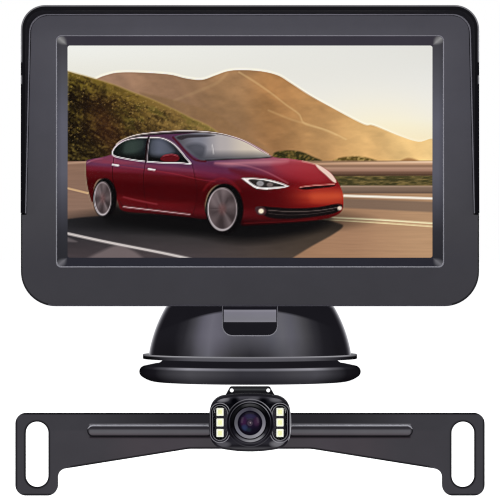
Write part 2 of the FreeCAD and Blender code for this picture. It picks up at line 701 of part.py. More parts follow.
# pull rod with a wide foot and a head
rod = Body("pull_rod", BASE)
rod.pad("XY", 5.2, 30.0, circle(0, 0, dims.rod_radius))
rod.pad("XY", 5.2, 7.2, circle(0, 0, 8.8))
rod.pad("XY", 28.6, 31.0, circle(0, 0, 4.6))

# =============================================================== arm and its joint
ball_z = dims.monitor_z
ball_y = dims.face_y + dims.ball_y      # the ball's centre in the base's frame
arm_half = dims.ear_inner - 0.1
head_half = 6.2                         # half height of the arm's upper end
arm = Body("arm", BASE)
arm.pad("YZ", -arm_half, arm_half, path(
    (arm_y - eye, arm_z), via(arm_y, arm_z - eye), (arm_y + eye, arm_z),
    (arm_y + eye, 84.0), via(27.4, 97.0), (14.0, ball_z + head_half),
    (-12.0, ball_z + head_half), (-12.0, ball_z - head_half), (6.0, ball_z - head_half),
    via(13.6, 86.8), (arm_y - eye, 79.0)))
arm.fillet(2.2, lambda box: box.XLength < 0.02 and box.ZMin > 60)
arm.pad("XZ", ball_y + 4, -10, circle(0, ball_z, 4.2))
arm.cut("YZ", -10, 10, circle(arm_y, arm_z, dims.bolt_radius + dims.run_gap))
# the ball: a half disc revolved about a construction line at its own height
half_disc = arm.sketch("YZ", 0, [path(
    (ball_y - dims.ball_radius, ball_z), via(ball_y, ball_z + dims.ball_radius),
    (ball_y + dims.ball_radius, ball_z))])
ball_axis = half_disc.addGeometry(
    Part.LineSegment(V(-60, ball_z.value, 0), V(0, ball_z.value, 0)), True)
half_disc.addConstraint(Sketcher.Constraint("Horizontal", ball_axis))
half_disc.addConstraint(Sketcher.Constraint("PointOnObject", 0, 1, ball_axis))
arm.revolve(half_disc, "Axis0")

# bolt with a hexagon recess in its head, on the -X side
head_end = -(dims.ear_outer + 3.0)
bolt = Body("arm_bolt", BASE)
bolt.pad("YZ", head_end, -dims.ear_outer, circle(arm_y, arm_z, 5.2))
bolt.pad("YZ", -dims.ear_outer, dims.ear_outer + 6, circle(arm_y, arm_z, dims.bolt_radius))
bolt.cut("YZ", head_end, -(dims.ear_outer + 1.2),
         path(*around(2.3, range(0, 360, 60), arm_y, arm_z)))

# knob on the +X side, with finger grooves around it
knob_end = dims.ear_outer + 8
knob = Body("arm_knob", BASE)
knob.pad("YZ", dims.ear_outer + dims.run_gap, knob_end, circle(arm_y, arm_z, 8.0))
knob.cut("YZ", dims.ear_outer, dims.ear_outer + 6.2,
         circle(arm_y, arm_z, dims.bolt_radius + dims.run_gap))
knob.cut("YZ", dims.ear_outer + 1.5, knob_end,
         *each(circle, around(9.0, range(0, 360, 45), arm_y, arm_z), 2.0))

# =============================================================== plate bar and swivel bracket
bar_half, bar_back = dims.bar_width / 2, dims.bar_thickness
end_inner, end_low = bar_half - dims.bar_end_width, dims.bar_end_low
shoulder_z, middle_z = -20.67, -11.95       # lower edge beside the ends, and in the middle
cable_hole = (0, -3.6)
cable_radius = 4.6
rivets = [(7.5, -8.4), (-7.5, -8.4)]
rivet_radius = 1.5
bracket_holes = [circle(*cable_hole, cable_radius), *each(circle, rivets, rivet_radius)]
plate_slots = [(side * dims.slot_pitch / 2, -dims.plate_slot_z) for side in SIDES]
beads = [(side * 41.8, -dims.bead_z) for side in SIDES]

bar = Body("plate_bracket", CAMERA)
bar.pad("XZ", 0, bar_back, path(
    (-bar_half, -end_low), (-end_inner, -end_low), (-end_inner, shoulder_z), (-25.5, middle_z),
    (25.5, middle_z), (end_inner, shoulder_z), (end_inner, -end_low), (bar_half, -end_low),
    (bar_half, dims.bar_top), (-bar_half, dims.bar_top)))
bar.fillet(4.4, lambda box: runs_along_y(box) and (near(abs(box.XMax), bar_half)
                                                   or near(box.ZMax, -end_low)))
bar.fillet(3.7, corners_at(shoulder_z))
bar.fillet(12.0, corners_at(middle_z))
bar.cut("XZ", 0, bar_back,
        *each(upright_slot, plate_slots, dims.plate_slot_length, dims.plate_slot_radius))
# two long beads raised on the front and hollow behind
bar.pad("XZ", -1.0, 0.2, *each(level_slot, beads, 52.4, dims.bead_width / 2))
bar.fillet(0.9, front_at(-1.0))
bar.cut("XZ", 0.6, bar_back, *each(level_slot, beads, 50.4, 1.6))
bar.cut("XZ", 0, bar_back, *bracket_holes)

# swivel bracket: a plate in front of the bar with two lugs for the camera's pivot
pivot = -dims.pivot_y
plate_front = -1.2
plate_half, plate_low, plate_top = 11.2, -11.2, 14.2
lug = path((-0.6, -3.8), (-0.6, 3.8), (pivot, 3.8), via(pivot - 3.8, 0), (pivot, -3.8))
swivel = Body("swivel_bracket", CAMERA)
swivel.pad("XZ", plate_front, 0, path(
    (-plate_half, plate_low), (plate_half, plate_low), (plate_half, 8.8), (8.2, plate_top),
    (-8.2, plate_top), (-plate_half, 8.8)))
swivel.fillet(1.2, corners_at(plate_top, plate_low))
swivel.pad("YZ", 10.0, plate_half, lug)
swivel.pad("YZ", -plate_half, -10.0, lug)
swivel.cut("YZ", -12, 12, circle(pivot, 0, dims.pivot_radius + dims.run_gap))
swivel.cut("XZ", plate_front, 0, *bracket_holes, circle(7.6, 12.5, 0.8), circle(-7.6, 12.5, 0.8))

rivet_body = Body("bracket_rivets", CAMERA)
rivet_body.pad("XZ", plate_front, bar_back, *each(circle, rivets, rivet_radius))
rivet_body.pad("XZ", bar_back, bar_back + 1.0, *each(circle, rivets, 2.5))
rivet_body.pad("XZ", -1.8, plate_front, *each(circle, rivets, 2.3))

grommet = Body("cable_grommet", CAMERA)
grommet_bore = circle(*cable_hole, 3.8)
grommet.pad("XZ", plate_front, bar_back, circle(*cable_hole, cable_radius), grommet_bore)
grommet.pad("XZ", bar_back, bar_back + 1.2, circle(*cable_hole, 6.0), grommet_bore)

# =============================================================== camera housing
case_front, case_back = -dims.case_front, -dims.case_back
case_screw_places = [(9.0, 7.6), (-9.0, 7.6), (9.0, -7.6), (-9.0, -7.6)]
case_screw_radius = 0.8
led_centres = [(side * dims.led_x, 0) for side in SIDES]
led_window = each(upright_slot, led_centres,
                  dims.frame_height - 2.4, dims.frame_width / 2 - 1.2)


def barrel(inset=0.0):
    """The case's outline, or one parallel to it: four bowed sides joined by tangent corner arcs."""
    width, height = dims.case_width / 2 - inset, dims.case_height / 2 - inset
    top_radius, side_radius, corner = 62.0 - inset, 30.0 - inset, 6.5 - inset
    # the corner's centre is where circles about the centres of the top and side arcs cross
    top_z, top_reach = height.value - top_radius, top_radius - corner
    side_x, side_reach = width.value - side_radius, side_radius - corner
    apart = math.hypot(side_x, top_z)
    along = (top_reach ** 2 - side_reach ** 2 + apart ** 2) / (2 * apart)
    across = math.sqrt(top_reach ** 2 - along ** 2)
    unit_x, unit_z = side_x / apart, -top_z / apart
    corner_x, corner_z = max(
        ((along * unit_x + sign * across * unit_z, top_z + along * unit_z - sign * across * unit_x)
         for sign in SIDES), key=sum)

    def on_corner(dx, dz):
        """Point of the corner arc in direction dx, dz, in proportion to the outline's size."""
        length = math.hypot(dx, dz)
        return (width * ((corner_x + corner * dx / length) / width.value),
                height * ((corner_z + corner * dz / length) / height.value))

    to_top = (corner_x / top_reach, (corner_z - top_z) / top_reach)
    to_side = ((corner_x - side_x) / side_reach, corner_z / side_reach)
    tx, tz = on_corner(*to_top)
    sx, sz = on_corner(*to_side)
    mx, mz = on_corner(to_top[0] + to_side[0], to_top[1] + to_side[1])
    return path(
        (-tx, -tz), via(0, -height), (tx, -tz), via(mx, -mz),
        (sx, -sz), via(width, 0), (sx, sz), via(mx, mz),
        (tx, tz), via(0, height), (-tx, tz), via(-mx, mz),
        (-sx, sz), via(-width, 0), (-sx, -sz), via(-mx, -mz))


# front housing: raised lens ring and LED frames, hollow behind, with four screw posts
case = Body("camera_front_housing", CAMERA)
case.pad("XZ", case_front, case_back, barrel())
case.fillet(1.6, front_at(case_front))
case.pad("XZ", case_front - 0.9, case_front + 1, circle(0, 0, 9.9))
case.pad("XZ", case_front - 0.6, case_front + 1,
         *each(upright_slot, led_centres, dims.frame_height, dims.frame_width / 2))
case.cut("XZ", case_front - 1, case_front + 4, *led_window)
case.cut("XZ", case_front + 2.2, case_back, barrel(2.0))
case.cut("XZ", case_front - 1, case_front + 4, circle(0, 0, dims.lens_radius))
case.pad("XZ", case_front + 2.2, case_back - 2.6, *each(circle, case_screw_places, 1.45))
case.cut("XZ", case_back - 8.0, case_back - 2.4,
         *each(circle, case_screw_places, case_screw_radius))

# rear housing: lid, tapered pivot block and cable stub
lid_front = case_back - 1.4
rear = Body("camera_rear_housing", CAMERA)
rear.pad("XZ", lid_front, case_back, barrel(2.05))
rear.pad("YZ", -9.8, 9.8, path(
    (case_back - 0.4, -6.0), (case_back + 0.6, -6.0), (pivot + 1.2, -3.62), via(pivot + 3.8, 0),
    (pivot + 1.2, 3.62), (case_back + 0.6, 6.0), (case_back - 0.4, 6.0)))
rear.pad("XZ", -4.5, -1.6, circle(0, -3.2, 2.0))
for low, high in ((-10, -5.4), (5.4, 10)):
    rear.cut("YZ", low, high, circle(pivot, 0, dims.pivot_radius))
rear.cut("XZ", lid_front, case_back, *each(circle, case_screw_places, case_screw_radius))

seal = Body("housing_seal", CAMERA)
seal.pad("XZ", case_back - 2.2, lid_front, barrel(2.1), barrel(2.7))

case_screws = Body("camera_housing_screws", CAMERA)
case_screws.pad("XZ", case_back, case_back + 0.9, *each(circle, case_screw_places, 1.4))
case_screws.pad("XZ", case_back - 6.0, case_back,
                *each(circle, case_screw_places, case_screw_radius))

# pivot screws: shank and head on each side, as (low x, high x, radius)
pivot_screws = Body("pivot_screws", CAMERA)
for low, high, radius in ((5.4, 11.3, dims.pivot_radius), (11.3, 12.9, 2.7),
                          (-11.3, -5.4, dims.pivot_radius), (-12.9, -11.3, 2.7)):
    pivot_screws.pad("YZ", low, high, circle(pivot, 0, radius))

# =============================================================== lens, LEDs and sensor
bore = 4.9                      # radius of the lens barrel's bore
barrel_front, barrel_step = case_front - 1.3, -14.0
tube = Body("lens_barrel", CAMERA)
tube.pad("XZ", barrel_front, barrel_step, circle(0, 0, dims.lens_radius), circle(0, 0, bore))
tube.chamfer(0.8, lambda box: front_at(barrel_front)(box) and box.XLength > 15)
tube.pad("XZ", barrel_step, -13.3, circle(0, 0, 6.4), circle(0, 0, 3.0))
ring = Body("lens_ring", CAMERA)
ring_front = case_front - 1.9
ring.pad("XZ", ring_front, barrel_front, circle(0, 0, 6.4), circle(0, 0, bore))
ring.chamfer(0.3, front_at(ring_front))


def lens_arc(edge_y, edge_radius, apex_y):
    """Middle point of a lens surface: a circular arc whose centre lies on the axis."""
    sag = abs(apex_y - edge_y)
    curve = (edge_radius ** 2 + sag ** 2) / (2 * sag)
    way = 1 if apex_y > edge_y else -1
    half = math.asin(edge_radius / curve) / 2
    return via(apex_y - way * curve + way * curve * math.cos(half), curve * math.sin(half))


front_lens = Body("lens_glass", CAMERA)
front_lens.turn("YZ", path((-21.5, 0), (-21.5, 4.85), (-25.4, 4.85),
                           lens_arc(-25.4, 4.85, -27.3), (-27.3, 0)))
elements = Body("lens_elements", CAMERA)
elements.turn("YZ", path((-20.4, 0), lens_arc(-19.0, 4.6, -20.4), (-19.0, 4.6), (-18.0, 4.6),
                         (-18.0, 0)))
elements.turn("YZ", path((-17.0, 0), (-17.0, 3.4), (-15.6, 3.4),
                         lens_arc(-15.6, 3.4, -14.8), (-14.8, 0)))
# rings as (front y, back y, hole radius)
spacer = Body("lens_spacer", CAMERA)
for front, rear_y, hole in ((-21.5, -19.0, 4.65), (-17.9, -17.0, 1.4), (-18.0, -17.9, 4.0)):
    spacer.pad("XZ", front, rear_y, circle(0, 0, bore), circle(0, 0, hole))

# three LEDs behind each window
led_places = [(side * dims.led_x, z) for side in SIDES for z in (4.35, 0.0, -4.35)]
led_front, led_back = case_front + 2.6, case_front + 4.4
led_boards = Body("led_boards", CAMERA)
led_boards.pad("XZ", led_back, case_front + 5.4,
               *each(round_rect, [(-11.6, 0), (11.6, 0)], 5.2, 12.0, 1.0))
packages = Body("led_packages", CAMERA)
packages.pad("XZ", led_front, led_back, *each(round_rect, led_places, 2.9, 3.2, 0.25))
emitters = Body("led_emitters", CAMERA)
emitters.pad("XZ", case_front + 2.4, led_front, *each(round_rect, led_places, 1.6, 1.9, 0.2))
windows = Body("led_windows", CAMERA)
windows.pad("XZ", case_front + 0.6, case_front + 1.6, *led_window)

sensor_back = case_back - 2.8
sensor_board = Body("sensor_board", CAMERA)
sensor_board.pad("XZ", sensor_back, case_back - 1.8, round_rect(0, 0, 14.6, 15, 1))
sensor = Body("image_sensor", CAMERA)
sensor.pad("XZ", case_back - 3.4, sensor_back, round_rect(0, 0, 5.6, 5.0, 0.2))

# =============================================================== camera lead behind the bar
# The lead comes back through the grommet, bends towards +X and ends in a plug.
lead_y, lead_z = bar_back + 4.8, -4.1
lead_end, bend, lead_radius = 46, 4.0, 1.7
run_y = lead_y.value
start = V(0, -0.2, lead_z)
bend_start, bend_end = V(0, run_y - bend, lead_z), V(bend, run_y, lead_z)
bend_mid = V(bend * ARC_MID, run_y - bend * ARC_MID, lead_z)
lead_path = Part.Wire([
    Part.makeLine(start, bend_start),
    Part.Arc(bend_start, bend_mid, bend_end).toShape(),
    Part.makeLine(bend_end, V(lead_end, run_y, lead_z))])
lead_section = Part.Wire([Part.Edge(Part.Circle(start, V(0, 1, 0), lead_radius))])
lead = doc.addObject("Part::Feature", "camera_lead")
lead.Shape = lead_path.makePipeShell([lead_section], True, True)
place(lead, CAMERA)
PIECES.append(lead)

# plug: neck, body, hollow end and a key notch
plug = Body("lead_plug", CAMERA)
plug.pad("YZ", lead_end + 0.1, 54, circle(lead_y, lead_z, 3.2))
plug.pad("YZ", 54, 68, circle(lead_y, lead_z, 4.4))
plug.cut("YZ", 60, 68, circle(lead_y, lead_z, 3.3))
plug.cut("YZ", 62, 68, circle(lead_y, lead_z + 3.9, 0.8))
plug_pins = Body("plug_pins", CAMERA)
plug_pins.pad("YZ", 60, 66, *each(circle, [
    (lead_y + y, lead_z + z) for y, z in around(1.5, DIAGONALS)], 0.4))

# =============================================================== state check and export
doc.recompute()
bad = []
for obj in doc.Objects:
    if any(state in ("Invalid", "Error") for state in obj.State):
        bad.append("%s %s" % (obj.Label, obj.State))
for obj in PIECES:
    if obj.Shape.isNull() or not obj.Shape.isValid() or not obj.Shape.Solids:
        bad.append(obj.Label + " shape")
if bad:
    raise RuntimeError("; ".join(bad))
os.makedirs("parts", exist_ok=True)
for obj in PIECES:
    obj.Shape.exportStep("parts/%s.step" % obj.Label)
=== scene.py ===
import json
import math
import bpy
import numpy as np
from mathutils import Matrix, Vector


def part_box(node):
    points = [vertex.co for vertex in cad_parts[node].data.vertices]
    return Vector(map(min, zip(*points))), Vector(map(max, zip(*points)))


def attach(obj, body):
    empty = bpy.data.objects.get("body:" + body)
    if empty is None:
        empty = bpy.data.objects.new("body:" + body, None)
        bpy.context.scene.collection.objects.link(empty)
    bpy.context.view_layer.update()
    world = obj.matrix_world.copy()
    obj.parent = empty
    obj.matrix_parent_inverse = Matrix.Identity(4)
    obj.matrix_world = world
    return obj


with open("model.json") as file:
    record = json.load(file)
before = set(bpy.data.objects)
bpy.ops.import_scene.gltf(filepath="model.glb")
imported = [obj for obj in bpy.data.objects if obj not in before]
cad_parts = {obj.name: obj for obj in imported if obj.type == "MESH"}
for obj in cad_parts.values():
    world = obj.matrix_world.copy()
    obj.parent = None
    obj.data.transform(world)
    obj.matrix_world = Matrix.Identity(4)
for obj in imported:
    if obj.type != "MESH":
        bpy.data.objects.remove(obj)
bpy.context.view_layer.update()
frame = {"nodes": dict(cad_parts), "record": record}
NODES = frame["nodes"]
SLOT = {p["node"]: p["material_slot"] for p in frame["record"]["subparts"]}
BODY = {n: b for b, ns in frame["record"]["behaviour"]["bodies"].items() for n in ns}
scene = bpy.context.scene
MM = 0.001
FACE = -0.066            # y of the bezel's face and of the plate's face
MID = 0.09655            # z of the monitor's middle
CAM_Z = -0.01385         # z of the camera's middle


# ---------------------------------------------------------------- materials
def lin(h):
    return [((c / 12.92) if c <= 0.04045 else ((c + 0.055) / 1.055) ** 2.4) for c in (int(h[i:i + 2], 16) / 255 for i in (0, 2, 4))]


class Mat:
    """A procedural material: a principled surface with grain and uneven sheen, in object space."""

    def __init__(self, name):
        self.m = bpy.data.materials.new(name)
        self.m.use_nodes = True
        self.t = self.m.node_tree
        self.t.nodes.clear()
        self.out = self.t.nodes.new("ShaderNodeOutputMaterial")
        self.co = self.t.nodes.new("ShaderNodeTexCoord")

    def node(self, kind, **kw):
        n = self.t.nodes.new("ShaderNode" + kind)
        for k, v in kw.items():
            if k in n.inputs:
                n.inputs[k].default_value = v
            else:
                setattr(n, k, v)
        return n

    def link(self, a, b):
        self.t.links.new(a, b)

    def noise(self, scale, detail=2.0, rough=0.5, stretch=None):
        src = self.co.outputs["Object"]
        if stretch:
            mp = self.node("Mapping")
            mp.inputs["Scale"].default_value = stretch
            self.link(src, mp.inputs["Vector"])
            src = mp.outputs["Vector"]
        n = self.node("TexNoise")
        n.inputs["Scale"].default_value = scale
        n.inputs["Detail"].default_value = detail
        n.inputs["Roughness"].default_value = rough
        self.link(src, n.inputs["Vector"])
        return n.outputs["Fac"]

    def span(self, value, lo, hi, a=0.0, b=1.0):
        r = self.node("MapRange")
        r.inputs["From Min"].default_value = a
        r.inputs["From Max"].default_value = b
        r.inputs["To Min"].default_value = lo
        r.inputs["To Max"].default_value = hi
        self.link(value, r.inputs["Value"])
        return r.outputs["Result"]

    def blend(self, fac, a, b):
        mx = self.node("Mix", data_type="RGBA")
        self.link(fac, mx.inputs[0])
        for s, v in ((6, a), (7, b)):
            if isinstance(v, (list, tuple)):
                mx.inputs[s].default_value = list(v)[:3] + [1.0]
            else:
                self.link(v, mx.inputs[s])
        return mx.outputs[2]

    def bumps(self, *layers):
        """layers are (value socket, height in mm)."""
        last = None
        for value, height in layers:
            b = self.node("Bump")
            b.inputs["Strength"].default_value = 1.0
            b.inputs["Distance"].default_value = height * MM
            self.link(value, b.inputs["Height"])
            if last is not None:
                self.link(last, b.inputs["Normal"])
            last = b.outputs["Normal"]
        return last


def surface(name, colour, rough=0.4, metallic=0.0, spec=0.5, coat=0.0, coat_rough=0.1, grain=0.004, grain_scale=2600.0, vary=0.12, uneven=0.08,
            brushed=None, sheen=0.0, dust=0.0, edge=None, waves=0.0):
    """colour is a linear rgb triple. grain is the height of the moulded or cast texture in mm."""
    m = Mat(name)
    p = m.node("BsdfPrincipled")
    base = [c for c in colour]
    dark, light = [c * (1 - vary) for c in base], [min(1, c * (1 + vary)) for c in base]
    patch = m.noise(38.0, 3.0, 0.55)
    fine = m.noise(grain_scale, 2.0, 0.6)
    col = m.blend(m.span(patch, 0, 1, 0.3, 0.7), dark, light)
    if dust:
        speck = m.span(m.noise(420.0, 4.0, 0.7), 0, dust, 0.58, 0.74)
        col = m.blend(speck, col, [min(1, c * 0.7 + 0.10) for c in base])
    m.link(col, p.inputs["Base Color"])
    r = m.span(m.noise(95.0, 4.0, 0.6), rough - uneven * 0.5, rough + uneven * 0.5, 0.3, 0.7)
    if brushed:
        streak = m.noise(brushed[0], 2.0, 0.5, brushed[1])
        r = m.span(streak, max(0.05, rough - 0.12), rough + 0.12, 0.3, 0.7)
    m.link(r, p.inputs["Roughness"])
    p.inputs["Metallic"].default_value = metallic
    p.inputs["Specular IOR Level"].default_value = spec
    p.inputs["Coat Weight"].default_value = coat
    p.inputs["Coat Roughness"].default_value = coat_rough
    if sheen:
        p.inputs["Sheen Weight"].default_value = sheen
        p.inputs["Sheen Roughness"].default_value = 0.6
    layers = []
    if waves:
        layers.append((m.noise(16.0, 1.0, 0.4), waves))
    if brushed:
        layers.append((streak, 0.004))
    if grain:
        layers.append((fine, grain))
    if layers:
        m.link(m.bumps(*layers), p.inputs["Normal"])
    m.link(p.outputs[0], m.out.inputs["Surface"])
    m.p = p
    return m.m


def glassy(name, tint, amount, rough=0.02, blur=0.0):
    """A thin clear window: mostly see-through, with a mirror sheen that grows at grazing angles."""
    m = Mat(name)
    tr = m.node("BsdfTransparent")
    tr.inputs["Color"].default_value = list(tint) + [1]
    gl = m.node("BsdfGlossy")
    gl.inputs["Roughness"].default_value = rough
    gl.inputs["Color"].default_value = [1, 1, 1, 1]
    fr = m.node("Fresnel")
    fr.inputs["IOR"].default_value = 1.45
    smear = m.span(m.noise(60.0, 4.0, 0.6), amount * 0.8, amount * 1.2, 0.3, 0.7)
    mul = m.node("Math", operation="MULTIPLY")
    m.link(fr.outputs[0], mul.inputs[0])
    m.link(smear, mul.inputs[1])
    mx = m.node("MixShader")
    m.link(mul.outputs[0], mx.inputs[0])
    m.link(tr.outputs[0], mx.inputs[1])
    m.link(gl.outputs[0], mx.inputs[2])
    m.link(mx.outputs[0], m.out.inputs["Surface"])
    return m.m


MATS = {
    "bezel_plastic": surface("bezel_plastic", lin("4a4851"), 0.38, spec=0.35, grain=0.0022, grain_scale=3200, vary=0.05),
    "cover_plastic": surface("cover_plastic", [0.022, 0.022, 0.024], 0.52, grain=0.012, grain_scale=2400, vary=0.12, dust=0.06),
    "gloss_black": surface("gloss_black", [0.010, 0.010, 0.012], 0.24, spec=0.55, coat=0.35, coat_rough=0.12, grain=0.0012, grain_scale=1500, vary=0.15, waves=0.01),
    "steel": surface("steel", [0.60, 0.60, 0.62], 0.32, metallic=1, grain=0.001, brushed=(900, (1, 12, 1))),
    "diffuser": surface("diffuser", [0.82, 0.82, 0.80], 0.6, grain=0.002),
    "circuit_board": surface("circuit_board", [0.018, 0.115, 0.045], 0.36, coat=0.4, grain=0.006, grain_scale=900, vary=0.25),
    "chip_black": surface("chip_black", [0.018, 0.018, 0.02], 0.55, grain=0.01, grain_scale=3000),
    "screw_steel": surface("screw_steel", [0.50, 0.50, 0.51], 0.34, metallic=1, brushed=(1200, (1, 6, 1)), vary=0.15),
    "switch_metal": surface("switch_metal", [0.65, 0.64, 0.62], 0.3, metallic=1),
    "button_rubber": surface("button_rubber", [0.045, 0.045, 0.05], 0.65, grain=0.008, grain_scale=1800, sheen=0.15),
    "socket_black": surface("socket_black", [0.014, 0.014, 0.015], 0.42, grain=0.004),
    "brass_pins": surface("brass_pins", [0.80, 0.60, 0.24], 0.26, metallic=1),
    "nylon": surface("nylon", [0.72, 0.71, 0.66], 0.45, grain=0.004),
    "cup_rubber": surface("cup_rubber", [0.012, 0.012, 0.014], 0.34, spec=0.5, grain=0.003, grain_scale=1600, vary=0.2, sheen=0.1),
    "lever_grey": surface("lever_grey", [0.105, 0.104, 0.112], 0.34, grain=0.0015, vary=0.06),
    "arm_plastic": surface("arm_plastic", [0.022, 0.022, 0.024], 0.5, grain=0.012, grain_scale=2400, vary=0.14, dust=0.05),
    "powder_black": surface("powder_black", lin("3f3d43"), 0.55, spec=0.3, grain=0.010, grain_scale=2100, vary=0.07),
    "rivet_black": surface("rivet_black", [0.028, 0.028, 0.03], 0.4, grain=0.004),
    "grommet_rubber": surface("grommet_rubber", [0.018, 0.018, 0.019], 0.62, grain=0.006, sheen=0.1),
    "camera_black": surface("camera_black", [0.012, 0.012, 0.013], 0.26, spec=0.55, coat=0.3, coat_rough=0.15, grain=0.002, grain_scale=2200, vary=0.15),
    "screw_black": surface("screw_black", [0.028, 0.028, 0.03], 0.36, grain=0.003),
    "lens_black": surface("lens_black", [0.006, 0.006, 0.007], 0.14, coat=0.6, coat_rough=0.05, grain=0.0006, waves=0.0),
    "lens_grey": surface("lens_grey", [0.42, 0.42, 0.46], 0.34, metallic=0.6, grain=0.001),
    "led_board_black": surface("led_board_black", [0.016, 0.016, 0.017], 0.5, grain=0.004),
    "lead_black": surface("lead_black", [0.018, 0.018, 0.019], 0.46, grain=0.004, sheen=0.1),
    "plug_black": surface("plug_black", [0.02, 0.02, 0.021], 0.5, grain=0.008, grain_scale=1700),
    "sensor_dark": surface("sensor_dark", [0.03, 0.05, 0.08], 0.12, coat=0.8, coat_rough=0.03, grain=0),
    "clear_glass": glassy("clear_glass", (0.992, 0.994, 0.996), 0.05),
    "clear_window": glassy("clear_window", (0.97, 0.975, 0.98), 0.12),
}
# ---------------------------------------------------------------- the picture on the screen
RS = np.random.RandomState(7)
LATTICE = RS.rand(256, 256)


def value_noise(x, y):
    xi, yi = np.floor(x).astype(int), np.floor(y).astype(int)
    fx, fy = x - xi, y - yi
    fx, fy = fx * fx * (3 - 2 * fx), fy * fy * (3 - 2 * fy)
    a, b = LATTICE[xi % 256, yi % 256], LATTICE[(xi + 1) % 256, yi % 256]
    c, e = LATTICE[xi % 256, (yi + 1) % 256], LATTICE[(xi + 1) % 256, (yi + 1) % 256]
    return (a * (1 - fx) + b * fx) * (1 - fy) + (c * (1 - fx) + e * fx) * fy


def fbm(x, y, octaves=4):
    out, amp, tot = 0, 1.0, 0
    for i in range(octaves):
        out = out + amp * value_noise(x * 2 ** i + 17 * i, y * 2 ** i + 31 * i)
        tot += amp
        amp *= 0.5
    return out / tot


def smooth_loop(pts, n=6):
    """Catmull-Rom curve through a closed list of points; a point given as (x, y, 0) keeps a sharp corner."""
    out = []
    m = len(pts)
    for i in range(m):
        p0, p1, p2, p3 = (np.array(pts[(i + k) % m][:2], float) for k in (-1, 0, 1, 2))
        if len(pts[i]) > 2:
            p0 = p1 - (p2 - p1)
        if len(pts[(i + 1) % m]) > 2:
            p3 = p2 + (p2 - p1)
        for j in range(n):
            t = j / n
            out.append(0.5 * ((2 * p1) + (-p0 + p2) * t + (2 * p0 - 5 * p1 + 4 * p2 - p3) * t * t + (-p0 + 3 * p1 - 3 * p2 + p3) * t ** 3))
    return np.array(out)


class Painting:
    """Colours at a set of points, painted shape by shape with soft edges. Units: the picture is 1508 wide and 877 high,
    its left edge at x = 30 and its top at y = 21."""

    def __init__(self, x, y):
        self.x, self.y = x, y
        self.c = np.zeros((len(x), 3))

    def dist(self, poly):
        """Signed distance to a closed polygon, negative inside."""
        lo, hi = poly.min(0) - 30, poly.max(0) + 30
        m = (self.x > lo[0]) & (self.x < hi[0]) & (self.y > lo[1]) & (self.y < hi[1])
        x, y = self.x[m], self.y[m]
        best = np.full(len(x), 1e9)
        inside = np.zeros(len(x), bool)
        q = np.roll(poly, -1, 0)
        for (ax, ay), (bx, by) in zip(poly, q):
            ex, ey = bx - ax, by - ay
            L = ex * ex + ey * ey
            if L < 1e-9:
                continue
            t = np.clip(((x - ax) * ex + (y - ay) * ey) / L, 0, 1)
            best = np.minimum(best, (x - ax - t * ex) ** 2 + (y - ay - t * ey) ** 2)
            if ay != by:
                cross = ((ay > y) != (by > y)) & (x < (bx - ax) * (y - ay) / (by - ay) + ax)
                inside ^= cross
        d = np.sqrt(best)
        d[inside] *= -1
        full = np.full(len(self.x), 1e9)
        full[m] = d
        return full

    def lay(self, alpha, colour):
        colour = np.asarray(colour(self.x, self.y) if callable(colour) else colour, float)
        a = np.clip(alpha, 0, 1)[:, None]
        self.c = self.c * (1 - a) + colour * a

    def shape(self, pts, colour, soft=3.0, alpha=1.0, sharp=False, n=6):
        poly = np.array([p[:2] for p in pts], float) if sharp else smooth_loop(pts, n)
        d = self.dist(poly)
        al = alpha(self.x, self.y) if callable(alpha) else alpha
        self.lay(np.clip(0.5 - d / soft, 0, 1) * al, colour)
        return d

    def line(self, pts, width, colour, soft=2.5, alpha=1.0, smooth=True):
        p = np.array(pts, float)
        if smooth and len(p) > 2:
            fine = []
            for i in range(len(p) - 1):
                p0, p1, p2, p3 = p[max(i - 1, 0)], p[i], p[i + 1], p[min(i + 2, len(p) - 1)]
                for j in range(6):
                    t = j / 6
                    fine.append(0.5 * ((2 * p1) + (-p0 + p2) * t + (2 * p0 - 5 * p1 + 4 * p2 - p3) * t * t + (-p0 + 3 * p1 - 3 * p2 + p3) * t ** 3))
            p = np.array(fine + [p[-1]])
        lo, hi = p.min(0) - 30, p.max(0) + 30
        m = (self.x > lo[0]) & (self.x < hi[0]) & (self.y > lo[1]) & (self.y < hi[1])
        x, y = self.x[m], self.y[m]
        best = np.full(len(x), 1e9)
        for (ax, ay), (bx, by) in zip(p[:-1], p[1:]):
            ex, ey = bx - ax, by - ay
            t = np.clip(((x - ax) * ex + (y - ay) * ey) / (ex * ex + ey * ey + 1e-9), 0, 1)
            best = np.minimum(best, (x - ax - t * ex) ** 2 + (y - ay - t * ey) ** 2)
        d = np.full(len(self.x), 1e9)
        d[m] = np.sqrt(best) - width / 2
        self.lay(np.clip(0.5 - d / soft, 0, 1) * alpha, colour)

    def ellipse(self, cx, cy, rx, ry, colour, soft=3.0, alpha=1.0, tilt=0.0):
        dx, dy = self.x - cx, self.y - cy
        ca, sa = math.cos(tilt), math.sin(tilt)
        u, v = (dx * ca + dy * sa) / rx, (-dx * sa + dy * ca) / ry
        r = np.sqrt(u * u + v * v)
        self.lay(np.clip(0.5 - (r - 1) * min(rx, ry) / soft, 0, 1) * (alpha(u, v) if callable(alpha) else alpha), colour)


def hexc(s):
    return np.array([int(s[i:i + 2], 16) / 255 for i in (0, 2, 4)])


def mixc(a, b, t):
    t = np.clip(t, 0, 1)[:, None]
    return a * (1 - t) + b * t


def ramp(t, *stops):
    """Colour ramp: stops are (position, hex)."""
    t = np.asarray(t, float)
    out = np.tile(hexc(stops[0][1]), (len(t), 1))
    for (p0, c0), (p1, c1) in zip(stops, stops[1:]):
        k = np.clip((t - p0) / (p1 - p0), 0, 1)
        k = k * k * (3 - 2 * k)
        m = t >= p0
        out[m] = (hexc(c0) * (1 - k[:, None]) + hexc(c1) * k[:, None])[m]
    return out


